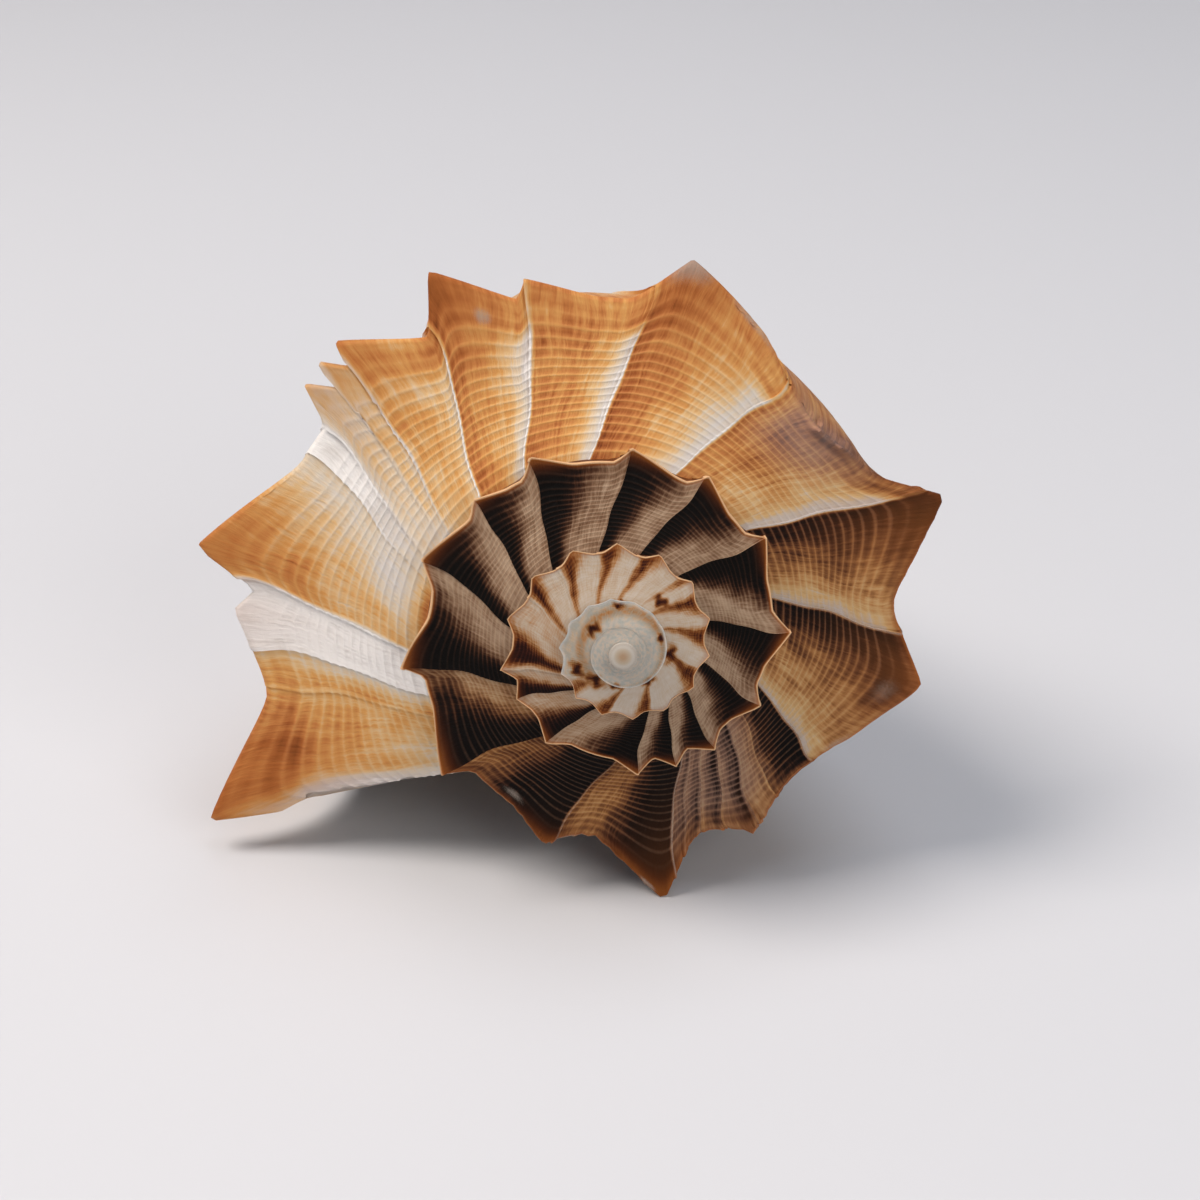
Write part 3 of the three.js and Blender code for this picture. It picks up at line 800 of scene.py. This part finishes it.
def worn_mask(growth, across, middle, points):
    x, y, z = points.T
    worn = 0.62 * np.exp(-(((np.hypot(x, y) - TIP_EDGE[0]) / TIP_EDGE[1]) ** 2)) * (z > TIP_ABOVE)
    for *oval, strength in WORN_PLACES:
        worn = np.maximum(worn, strength * patch(growth, across, *oval))
    return np.maximum(worn, OLD_LEDGE_GREY * ledge_line(growth, middle) * (growth < 0))


# The bright line along the rims of the earlier turns, wider on the disc and on the spines.
def rim_mask(growth, across):
    rim = np.exp(-((across / RIM_LINE) ** 2)) * smooth(growth, -1350, -1250)
    rim = rim * np.interp(growth, [-165, -125, 10, 30], [1, 0.75, 0.6, 0])
    on_disc = smooth(-growth, 860, 880) * smooth(growth, -1260, -1200)
    rim = np.maximum(rim, np.exp(-((across / DISC_RIM_LINE) ** 2)) * on_disc)
    glow = 0.55 * np.exp(-((across / RIM_GLOW) ** 2)) * np.clip(spine_reach(growth, across) / 0.1, 0, 1)
    return np.maximum(rim, glow * smooth(growth, -900, -800) * (1 - smooth(growth, -60, 10)))


# Four masks on every corner: depth of colour, spine, worn place, bright rim. The sides of the earlier turns
# that show in the mouth get the glaze.
def tone_skin(piece):
    mesh = piece.data
    growth, across = values_of(mesh.attributes["skin"].data, "vector", 2, np.float32).T.astype(float)
    starts = values_of(mesh.polygons, "loop_start", 1, np.int32)
    counts = values_of(mesh.polygons, "loop_total", 1, np.int32)
    middle = np.repeat(np.add.reduceat(growth, starts) / counts, counts) + STEP_FACE_NEWER
    points = values_of(mesh.vertices, "co", 3)[values_of(mesh.loops, "vertex_index", 1, np.int32)]
    masks = np.stack([
        depth_mask(growth, across, middle, points),
        spine_mask(growth, across, middle),
        worn_mask(growth, across, middle, points),
        rim_mask(growth, across),
    ], axis=-1).astype(np.float32)
    tone = mesh.attributes.new("tone", "FLOAT_COLOR", "CORNER")
    tone.data.foreach_set("color", masks.ravel())
    finish = values_of(mesh.polygons, "material_index", 1, np.int32)
    down = np.add.reduceat(across, starts) / counts
    finish[(down > GLAZE_DOWN_FROM) & (middle[starts] < GLAZE_BEFORE)] = GLAZE
    mesh.polygons.foreach_set("material_index", finish)


# Settings that several nodes share.
MULTIPLY = {"operation": "MULTIPLY"}
MULTIPLY_ADD = {"operation": "MULTIPLY_ADD"}
SMOOTH_STEP = {"interpolation_type": "SMOOTHSTEP"}
IN_SKIN_PLANE = {"noise_dimensions": "2D"}


# An sRGB hex colour as linear values.
def linear(hex_colour):
    shares = [int(hex_colour[i:i + 2], 16) / 255 for i in (1, 3, 5)]
    return (*[c / 12.92 if c <= 0.04045 else ((c + 0.055) / 1.055) ** 2.4 for c in shares], 1)


# A node with its settings, its inputs, which are sockets or values, and for a ramp its stops.
def add(tree, kind, settings=None, inputs=None, stops=None):
    node = tree.nodes.new("ShaderNode" + kind)
    for name, value in (settings or {}).items():
        setattr(node, name, value)
    for name, value in (inputs or {}).items():
        if isinstance(value, bpy.types.NodeSocket):
            tree.links.new(value, node.inputs[name])
        elif isinstance(value, str):
            node.inputs[name].default_value = linear(value)
        else:
            node.inputs[name].default_value = value
    for number, (position, colour) in enumerate(stops or []):
        if number < 2:
            stop = node.color_ramp.elements[number]
            stop.position = position
        else:
            stop = node.color_ramp.elements.new(position)
        stop.color = linear(colour)
    return node


# How often a pattern of a size in millimetres comes in a degree of growth and in a keel radius.
def pattern_scale(along, down):
    return (LIP_RADIUS * math.pi / 180 / along, LIP_RADIUS / down, 0.0)


def new_material(name):
    material = bpy.data.materials.new(name)
    material.use_nodes = True
    tree = material.node_tree
    tree.nodes.clear()
    return material, tree


# Grown shell: layered calcite and aragonite, matt to satin, its brown laid down season by season.
# To the eye it is warm and dry, with a low sheen, pale spiral threads and fine growth lines.
def grown_shell():
    material, tree = new_material("grown_whelk_shell")
    skin = add(tree, "Attribute", {"attribute_name": "skin"}).outputs["Vector"]
    place_on = add(tree, "SeparateXYZ", None, {0: skin})
    growth = place_on.outputs["X"]
    across = place_on.outputs["Y"]
    tone = add(tree, "Attribute", {"attribute_name": "tone"})
    masks = add(tree, "SeparateColor", None, {0: tone.outputs["Color"]})
    depth = masks.outputs["Red"]
    spine = masks.outputs["Green"]
    worn = masks.outputs["Blue"]
    rim = tone.outputs["Alpha"]

    # Spiral threads, in step with the raised cords.
    share = add(tree, "Math", {"operation": "ADD", "use_clamp": True}, {0: across, 1: 1.0}).outputs[0]
    turned = add(tree, "Math", MULTIPLY_ADD,
                 {0: share, 1: 2 * math.pi, 2: -2 * math.pi * CORD_BUNCH_AT}).outputs[0]
    bunched = add(tree, "Math", {"operation": "SINE"}, {0: turned}).outputs[0]
    bunched = add(tree, "Math", MULTIPLY, {0: bunched, 1: CORD_BUNCHING}).outputs[0]
    phase = add(tree, "Math", MULTIPLY_ADD, {0: share, 1: CORDS, 2: bunched}).outputs[0]
    beside = add(tree, "Math", {"operation": "PINGPONG"}, {0: phase, 1: 0.5}).outputs[0]
    early = add(tree, "MapRange", None,
                {0: growth, 1: EARLY_THREADS[0], 2: EARLY_THREADS[1], 3: 0.0, 4: 1.0}).outputs[0]
    thread_edge = add(tree, "MapRange", None, {0: early, 1: 0.0, 2: 1.0, 3: 0.22, 4: 0.26}).outputs[0]
    narrow = add(tree, "MapRange", SMOOTH_STEP,
                 {0: beside, 1: 0.03, 2: thread_edge, 3: 1.0, 4: 0.0}).outputs[0]
    starts = add(tree, "MapRange", SMOOTH_STEP,
                 {0: share, 1: 0.03, 2: 0.09, 3: 0.0, 4: 1.0}).outputs[0]
    stops = add(tree, "MapRange", SMOOTH_STEP, {0: share, 1: 0.78, 2: 0.92, 3: 1.0, 4: 0.0}).outputs[0]
    reaching = add(tree, "Math", {"operation": "MAXIMUM"}, {0: stops, 1: early}).outputs[0]
    lasting = add(tree, "Math", MULTIPLY, {0: starts, 1: reaching}).outputs[0]
    thread = add(tree, "Math", MULTIPLY, {0: narrow, 1: lasting}).outputs[0]
    worn_smooth = add(tree, "MapRange", None,
                      {0: growth, 1: SHARP_THREADS[0], 2: SHARP_THREADS[1], 3: 0.1, 4: 1.0}).outputs[0]
    thread = add(tree, "Math", MULTIPLY, {0: thread, 1: worn_smooth}).outputs[0]

    # Below the keel the threads are fainter and further apart.
    side_phase = add(tree, "Math", MULTIPLY, {0: across, 1: LIP_RADIUS / SIDE_THREADS_APART}).outputs[0]
    side_beside = add(tree, "Math", {"operation": "PINGPONG"}, {0: side_phase, 1: 0.5}).outputs[0]
    side_narrow = add(tree, "MapRange", SMOOTH_STEP,
                      {0: side_beside, 1: 0.05, 2: 0.22, 3: 0.55, 4: 0.0}).outputs[0]
    below_keel = add(tree, "MapRange", None, {0: across, 1: 0.1, 2: 0.3, 3: 0.0, 4: 1.0}).outputs[0]
    side_thread = add(tree, "Math", MULTIPLY, {0: side_narrow, 1: below_keel}).outputs[0]
    thread = add(tree, "Math", {"operation": "MAXIMUM"}, {0: thread, 1: side_thread}).outputs[0]

    # Growth lines, long across the ramp, and the broader streaks and clouds of its colour.
    fine = add(tree, "VectorMath", MULTIPLY, {0: skin, 1: pattern_scale(*GROWTH_LINES)}).outputs[0]
    striae = add(tree, "TexNoise", IN_SKIN_PLANE,
                 {"Vector": fine, "Scale": 1.0, "Detail": 3.0, "Roughness": 0.6}).outputs["Fac"]
    broad = add(tree, "VectorMath", MULTIPLY, {0: skin, 1: pattern_scale(*COLOUR_STREAKS)}).outputs[0]
    streak = add(tree, "TexNoise", IN_SKIN_PLANE,
                 {"Vector": broad, "Scale": 1.0, "Detail": 4.0, "Roughness": 0.65}).outputs["Fac"]
    cloud_place = add(tree, "VectorMath", MULTIPLY, {0: skin, 1: pattern_scale(*COLOUR_CLOUDS)}).outputs[0]
    cloud = add(tree, "TexNoise", IN_SKIN_PLANE,
                {"Vector": cloud_place, "Scale": 1.0, "Detail": 3.0, "Roughness": 0.6}).outputs["Fac"]

    # Threads break up where the streaks are dark.
    broken = add(tree, "MapRange", None, {0: streak, 1: 0.3, 2: 0.62, 3: 0.45, 4: 1.0}).outputs[0]
    thread = add(tree, "Math", MULTIPLY, {0: thread, 1: broken}).outputs[0]

    # How deep the colour is here: the mask, made uneven, paler down the side and on the threads, and darker
    # in the grooves between the cords, which is painted shade.
    uneven = add(tree, "Math", {"operation": "ADD"}, {0: streak, 1: cloud}).outputs[0]
    uneven = add(tree, "Math", MULTIPLY_ADD, {0: striae, 1: 0.5, 2: uneven}).outputs[0]
    uneven = add(tree, "Math", {"operation": "SUBTRACT"}, {0: uneven, 1: 1.25}).outputs[0]
    loose = add(tree, "MapRange", None, {0: depth, 1: 0.0, 2: 0.35, 3: 0.05, 4: 0.42}).outputs[0]
    varied = add(tree, "Math", MULTIPLY_ADD, {0: uneven, 1: loose, 2: depth}).outputs[0]
    side_pale = add(tree, "MapRange", None, {0: across, 1: 0.1, 2: 0.9, 3: 1.0, 4: 0.74}).outputs[0]
    varied = add(tree, "Math", MULTIPLY, {0: varied, 1: side_pale}).outputs[0]
    thinning = add(tree, "MapRange", None, {0: early, 1: 0.0, 2: 1.0, 3: -0.18, 4: -0.14}).outputs[0]
    paler = add(tree, "Math", MULTIPLY_ADD, {0: thread, 1: thinning, 2: 1.0}).outputs[0]
    # Painted shade: the colour deepens towards the middle of each groove between the raised cords.
    groove_shade = add(tree, "Math", MULTIPLY_ADD, {0: beside, 1: 0.4, 2: 0.9}).outputs[0]
    groove_shade = add(tree, "Math", MULTIPLY, {0: groove_shade, 1: paler}).outputs[0]
    final = add(tree, "Math", {"operation": "MULTIPLY", "use_clamp": True},
                {0: varied, 1: groove_shade}).outputs[0]

    # Four sets of tones, from the newest growth to the oldest, each running into the next.
    warm = add(tree, "ValToRGB", None, {0: final}, [
        (0, "#f1eeeb"), (0.03, "#d2ccc7"), (0.09, "#d8cab6"), (0.2, "#dcb988"), (0.34, "#d49c5a"),
        (0.5, "#c07c45"), (0.66, "#9c572c"), (0.82, "#672f15"), (1, "#2e140b"),
    ]).outputs[0]
    brown = add(tree, "ValToRGB", None, {0: final}, [
        (0, "#c6bdb9"), (0.08, "#b8aaa0"), (0.2, "#c4a272"), (0.36, "#b07f4e"), (0.5, "#875833"),
        (0.66, "#573420"), (0.82, "#25130b"), (1, "#080403"),
    ]).outputs[0]
    taupe = add(tree, "ValToRGB", None, {0: final}, [
        (0, "#c2aa92"), (0.2, "#a88e75"), (0.38, "#7f614a"), (0.58, "#472b1b"), (0.78, "#1b0d07"),
        (1, "#050302"),
    ]).outputs[0]
    pale = add(tree, "ValToRGB", None, {0: final}, [
        (0, "#c8c0b7"), (0.12, "#bdab97"), (0.3, "#ab7c4f"), (0.5, "#77411b"), (0.72, "#35130a"),
        (1, "#120505"),
    ]).outputs[0]
    older = add(tree, "MapRange", SMOOTH_STEP,
                {0: growth, 1: WARM_TONES[0], 2: WARM_TONES[1], 3: 1.0, 4: 0.0}).outputs[0]
    oldest = add(tree, "MapRange", SMOOTH_STEP,
                 {0: growth, 1: BROWN_TONES[0], 2: BROWN_TONES[1], 3: 1.0, 4: 0.0}).outputs[0]
    spire = add(tree, "MapRange", SMOOTH_STEP,
                {0: growth, 1: TAUPE_TONES[0], 2: TAUPE_TONES[1], 3: 1.0, 4: 0.0}).outputs[0]
    colour = add(tree, "MixRGB", None, {0: older, 1: warm, 2: brown}).outputs[0]
    colour = add(tree, "MixRGB", None, {0: oldest, 1: colour, 2: taupe}).outputs[0]
    colour = add(tree, "MixRGB", None, {0: spire, 1: colour, 2: pale}).outputs[0]

    # A lilac grey over the narrow seasons off the keel, and over one worn stretch near it.
    lilac = add(tree, "MapRange", None, {0: growth, 1: LILAC[0], 2: LILAC[1], 3: 0.0, 4: 0.45}).outputs[0]
    lilac_to = add(tree, "MapRange", None,
                   {0: growth, 1: LILAC_OVER[0], 2: LILAC_OVER[1], 3: 1.0, 4: 0.0}).outputs[0]
    light_here = add(tree, "MapRange", None, {0: final, 1: 0.35, 2: 0.9, 3: 1.0, 4: 0.0}).outputs[0]
    off_keel = add(tree, "MapRange", None, {0: share, 1: 0.72, 2: 0.9, 3: 1.0, 4: 0.25}).outputs[0]
    for mask in (lilac_to, light_here, off_keel):
        lilac = add(tree, "Math", MULTIPLY, {0: lilac, 1: mask}).outputs[0]
    greyed = add(tree, "MapRange", None, {0: growth, 1: GREYED[0], 2: GREYED[1], 3: 0.0, 4: 0.42}).outputs[0]
    greyed_to = add(tree, "MapRange", None,
                    {0: growth, 1: GREYED_OVER[0], 2: GREYED_OVER[1], 3: 1.0, 4: 0.0}).outputs[0]
    near_keel = add(tree, "MapRange", None, {0: share, 1: 0.45, 2: 0.75, 3: 0.0, 4: 1.0}).outputs[0]
    on_ramp = add(tree, "MapRange", None, {0: across, 1: 0.0, 2: 0.1, 3: 1.0, 4: 0.0}).outputs[0]
    for mask in (greyed_to, near_keel, on_ramp):
        greyed = add(tree, "Math", MULTIPLY, {0: greyed, 1: mask}).outputs[0]
    lilac = add(tree, "Math", {"operation": "MAXIMUM"}, {0: lilac, 1: greyed}).outputs[0]
    colour = add(tree, "MixRGB", None, {0: lilac, 1: colour, 2: "#8f8480"}).outputs[0]

    # Threads on dark shell are rubbed a little paler.
    rubbed = add(tree, "MapRange", None, {0: final, 1: 0.3, 2: 0.7, 3: 0.0, 4: 0.07}).outputs[0]
    rubbed = add(tree, "Math", MULTIPLY, {0: rubbed, 1: thread}).outputs[0]
    later = add(tree, "MapRange", None, {0: early, 1: 0.0, 2: 1.0, 3: 1.0, 4: 0.15}).outputs[0]
    rubbed = add(tree, "Math", MULTIPLY, {0: rubbed, 1: later}).outputs[0]
    colour = add(tree, "MixRGB", None, {0: rubbed, 1: colour, 2: "#c6a183"}).outputs[0]

    # Spines wear to plain orange brown. A brown band runs along the sutures, partly the shell's colour and
    # partly painted shade in the crease under the turn above. The side just under each early rim is painted
    # dark brown as shade under the overhang, and the early rims are bright.
    young_spine = add(tree, "Math", MULTIPLY, {0: spine, 1: 0.55}).outputs[0]
    colour = add(tree, "MixRGB", None, {0: young_spine, 1: colour, 2: "#a8632f"}).outputs[0]
    disc = add(tree, "MapRange", None,
               {0: growth, 1: OFF_DISC[0], 2: OFF_DISC[1], 3: 1.0, 4: 0.0}).outputs[0]
    # A brown band along the suture: partly the shell's brown, partly painted shade in the crease under the
    # turn above.
    suture = add(tree, "MapRange", SMOOTH_STEP,
                 {0: share, 1: 0.0, 2: 0.14, 3: 0.75, 4: 0.0}).outputs[0]
    suture = add(tree, "Math", {"operation": "SUBTRACT", "use_clamp": True}, {0: suture, 1: disc}).outputs[0]
    colour = add(tree, "MixRGB", None, {0: suture, 1: colour, 2: "#7a431c"}).outputs[0]
    # Painted shade: the side of the earlier turns under the rim, beneath its overhang, is painted dark brown.
    shade_under_rim = add(tree, "MapRange", SMOOTH_STEP, {0: across, 1: 0.008, 2: 0.03, 3: 0.0, 4: 1.0}).outputs[0]
    shade_under_rim = add(tree, "Math", MULTIPLY, {0: shade_under_rim, 1: early}).outputs[0]
    colour = add(tree, "MixRGB", None, {0: shade_under_rim, 1: colour, 2: "#5f3216"}).outputs[0]
    rim_tone = add(tree, "ValToRGB", None, {0: rim}, [
        (0.2, "#8a4419"), (0.9, "#e2b88c"), (0.6, "#b4682d"),
    ]).outputs[0]
    rim_tone = add(tree, "MixRGB", None, {0: disc, 1: rim_tone, 2: "#d9d3cd"}).outputs[0]
    colour = add(tree, "MixRGB", None, {0: rim, 1: colour, 2: rim_tone}).outputs[0]
    mottle = add(tree, "ValToRGB", None, {0: cloud}, [
        (0.35, "#dbe6ea"), (0.5, "#eef3f5"), (0.62, "#fffaf2"),
    ]).outputs[0]
    colour = add(tree, "MixRGB", {"blend_type": "MULTIPLY"}, {0: disc, 1: colour, 2: mottle}).outputs[0]

    # A grey crust in the worn places.
    crust = add(tree, "TexNoise", None,
                {"Scale": SHELL_LENGTH / CRUST_GRAIN, "Detail": 3.0, "Roughness": 0.7}).outputs["Fac"]
    crusted = add(tree, "Math", {"operation": "ADD"}, {0: crust, 1: worn}).outputs[0]
    crusted = add(tree, "MapRange", SMOOTH_STEP, {0: crusted, 1: 0.95, 2: 1.25, 3: 0.0, 4: 0.8}).outputs[0]
    colour = add(tree, "MixRGB", None, {0: crusted, 1: colour, 2: "#a09388"}).outputs[0]

    bump_height = add(tree, "Math", MULTIPLY_ADD, {0: crust, 1: 0.3, 2: striae}).outputs[0]
    bump_height = add(tree, "Math", MULTIPLY_ADD, {0: thread, 1: 0.5, 2: bump_height}).outputs[0]
    bump = add(tree, "Bump", None, {"Height": bump_height, "Strength": 0.6, "Distance": 0.0002}).outputs[0]
    dull = add(tree, "MapRange", None, {0: final, 1: 0.3, 2: 0.8, 3: 0.2, 4: 0.5}).outputs[0]
    gloss = add(tree, "Math", MULTIPLY_ADD, {0: striae, 1: 0.2, 2: dull}).outputs[0]
    surface = add(tree, "BsdfPrincipled", None, {
        "Base Color": colour, "Roughness": gloss, "Normal": bump, "IOR": 1.53, "Specular IOR Level": 0.08,
    })
    add(tree, "OutputMaterial", None, {0: surface.outputs[0]})
    return material


# Porcelain glaze: the smooth inner layer that the animal lays down round itself.
# To the eye it is a wet-looking cream to peach, whiter at the lip's edge.
def porcelain_glaze():
    material, tree = new_material("porcelain_shell_glaze")
    skin = add(tree, "Attribute", {"attribute_name": "skin"}).outputs["Vector"]
    growth = add(tree, "SeparateXYZ", None, {0: skin}).outputs["X"]
    broad = add(tree, "VectorMath", MULTIPLY, {0: skin, 1: pattern_scale(*GLAZE_STREAKS)}).outputs[0]
    streak = add(tree, "TexNoise", IN_SKIN_PLANE,
                 {"Vector": broad, "Scale": 1.0, "Detail": 4.0, "Roughness": 0.6}).outputs["Fac"]
    peach = add(tree, "ValToRGB", None, {0: streak}, [
        (0.25, "#efdcc4"), (0.5, "#e8c8a2"), (0.7, "#d9a677"),
    ]).outputs[0]
    edge = add(tree, "MapRange", SMOOTH_STEP,
               {0: growth, 1: WHITE_LIP[0], 2: WHITE_LIP[1], 3: 0.0, 4: 0.85}).outputs[0]
    colour = add(tree, "MixRGB", None, {0: edge, 1: peach, 2: "#e6dccf"}).outputs[0]
    bump = add(tree, "Bump", None, {"Height": streak, "Strength": 0.3, "Distance": 0.0002}).outputs[0]
    surface = add(tree, "BsdfPrincipled", None, {
        "Base Color": colour, "Roughness": 0.22, "Normal": bump, "IOR": 1.53, "Coat Weight": 0.3,
        "Coat Roughness": 0.1,
    })
    add(tree, "OutputMaterial", None, {0: surface.outputs[0]})
    return material


# Painted board: a plain matt floor, a cool near white.
def painted_board():
    material, tree = new_material("painted_board_floor")
    surface = add(tree, "BsdfPrincipled", None, {"Base Color": "#cdcfd4", "Roughness": 0.6})
    add(tree, "OutputMaterial", None, {0: surface.outputs[0]})
    return material


# The photograph's view: along the axis from a little above, aimed so that the apex falls where it does there.
def photo_camera():
    forward = -Vector((
        math.sin(CAMERA_ASIDE) * math.cos(CAMERA_ABOVE_AXIS),
        math.sin(CAMERA_ABOVE_AXIS),
        math.cos(CAMERA_ASIDE) * math.cos(CAMERA_ABOVE_AXIS),
    ))
    right = forward.cross(Vector((0, 1, 0))).normalized()
    above = right.cross(forward)
    eye = -forward * CAMERA_FROM_APEX
    aim = forward - right * (APEX_RIGHT / PHOTO_LENS_PIXELS) + above * (APEX_BELOW / PHOTO_LENS_PIXELS)
    tilt = Matrix.Rotation(math.pi / 2 - REST_TILT, 3, "X")
    aim = (tilt @ aim).normalized()
    right = tilt @ right
    right = (right - aim * right.dot(aim)).normalized()
    above = right.cross(aim)
    data = bpy.data.cameras.new("camera")
    data.lens = CAMERA_LENS
    data.sensor_width = CAMERA_SENSOR
    data.clip_start = 0.01
    camera = bpy.data.objects.new("camera", data)
    turn = Matrix((right, above, -aim)).transposed().to_4x4()
    spot = (tilt @ eye + Vector(resting_shift())) * MM
    camera.matrix_world = Matrix.Translation(spot) @ turn
    bpy.context.scene.collection.objects.link(camera)
    bpy.context.scene.camera = camera


def soft_light(name, spot, size, power, colour):
    data = bpy.data.lights.new(name, "AREA")
    data.shape = "RECTANGLE"
    data.size, data.size_y = size
    data.energy = power
    data.color = linear(colour)[:3]
    light = bpy.data.objects.new(name, data)
    light.location = spot
    light.rotation_euler = (-Vector(spot) + Vector(LIGHTS_AIM)).to_track_quat("-Z", "Y").to_euler()
    bpy.context.scene.collection.objects.link(light)


# Soft light from the left, from above and from the front.
def studio_light():
    world = bpy.data.worlds.new("studio")
    world.use_nodes = True
    background = world.node_tree.nodes["Background"]
    background.inputs[0].default_value = linear("#e6e9ee")
    background.inputs[1].default_value = 0.2
    bpy.context.scene.world = world
    bpy.context.scene.view_settings.view_transform = "Standard"
    soft_light("window_left", (-0.5, -0.1, 0.8), (0.45, 0.45), 8, "#fff4ea")
    soft_light("sky_above", (0.2, 0.1, 1.0), (0.9, 0.6), 4, "#f2f6ff")
    soft_light("front_fill", (0.5, -0.75, 0.45), (0.6, 0.5), 3.6, "#fff8f0")


def floor_bowl():
    profile = [(FLOOR_RADIUS, 0.0)]
    for turn in np.linspace(0, np.pi / 2, FLOOR_BEND_STEPS + 1)[1:]:
        radius = FLOOR_RADIUS + FLOOR_BEND * math.sin(turn)
        profile.append((radius, FLOOR_BEND - FLOOR_BEND * math.cos(turn)))
    profile.append((FLOOR_RADIUS + FLOOR_BEND, FLOOR_TOP))
    around = np.linspace(0, 2 * np.pi, FLOOR_COLUMNS, endpoint=False)
    points = [(r * math.cos(turn), r * math.sin(turn), z) for r, z in profile for turn in around]
    faces = [tuple(range(FLOOR_COLUMNS))]
    for ring in range(len(profile) - 1):
        for k in range(FLOOR_COLUMNS):
            a = ring * FLOOR_COLUMNS + k
            b = ring * FLOOR_COLUMNS + (k + 1) % FLOOR_COLUMNS
            faces.append((a, b, b + FLOOR_COLUMNS, a + FLOOR_COLUMNS))
    mesh = bpy.data.meshes.new("floor")
    mesh.from_pydata(points, [], faces)
    mesh.polygons.foreach_set("use_smooth", [False] + [True] * (len(faces) - 1))
    mesh.materials.append(painted_board())
    floor = bpy.data.objects.new("floor", mesh)
    floor.location.z = -FLOOR_BELOW
    bpy.context.scene.collection.objects.link(floor)


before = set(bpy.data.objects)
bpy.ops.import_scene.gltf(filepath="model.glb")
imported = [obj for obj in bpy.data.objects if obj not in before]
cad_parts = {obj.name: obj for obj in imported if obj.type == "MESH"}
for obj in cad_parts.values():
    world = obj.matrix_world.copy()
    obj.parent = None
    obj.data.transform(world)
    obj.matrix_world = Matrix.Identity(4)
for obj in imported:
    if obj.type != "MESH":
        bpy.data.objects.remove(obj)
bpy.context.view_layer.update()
FINISHES = [grown_shell(), porcelain_glaze()]
shell = shell_piece()
keep_biggest(shell)
tone_skin(shell)
lay_down(shell)
shell.name = "whelk_shell"
shell.data.name = "whelk_shell"
shell.data.polygons.foreach_set("use_smooth", np.ones(len(shell.data.polygons), bool))
shell.data.set_sharp_from_angle(angle=SHARP_FROM)
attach(shell, "root")
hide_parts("shell")
photo_camera()
studio_light()
floor_bowl()
print("triangles", sum(len(p.vertices) - 2 for p in shell.data.polygons))
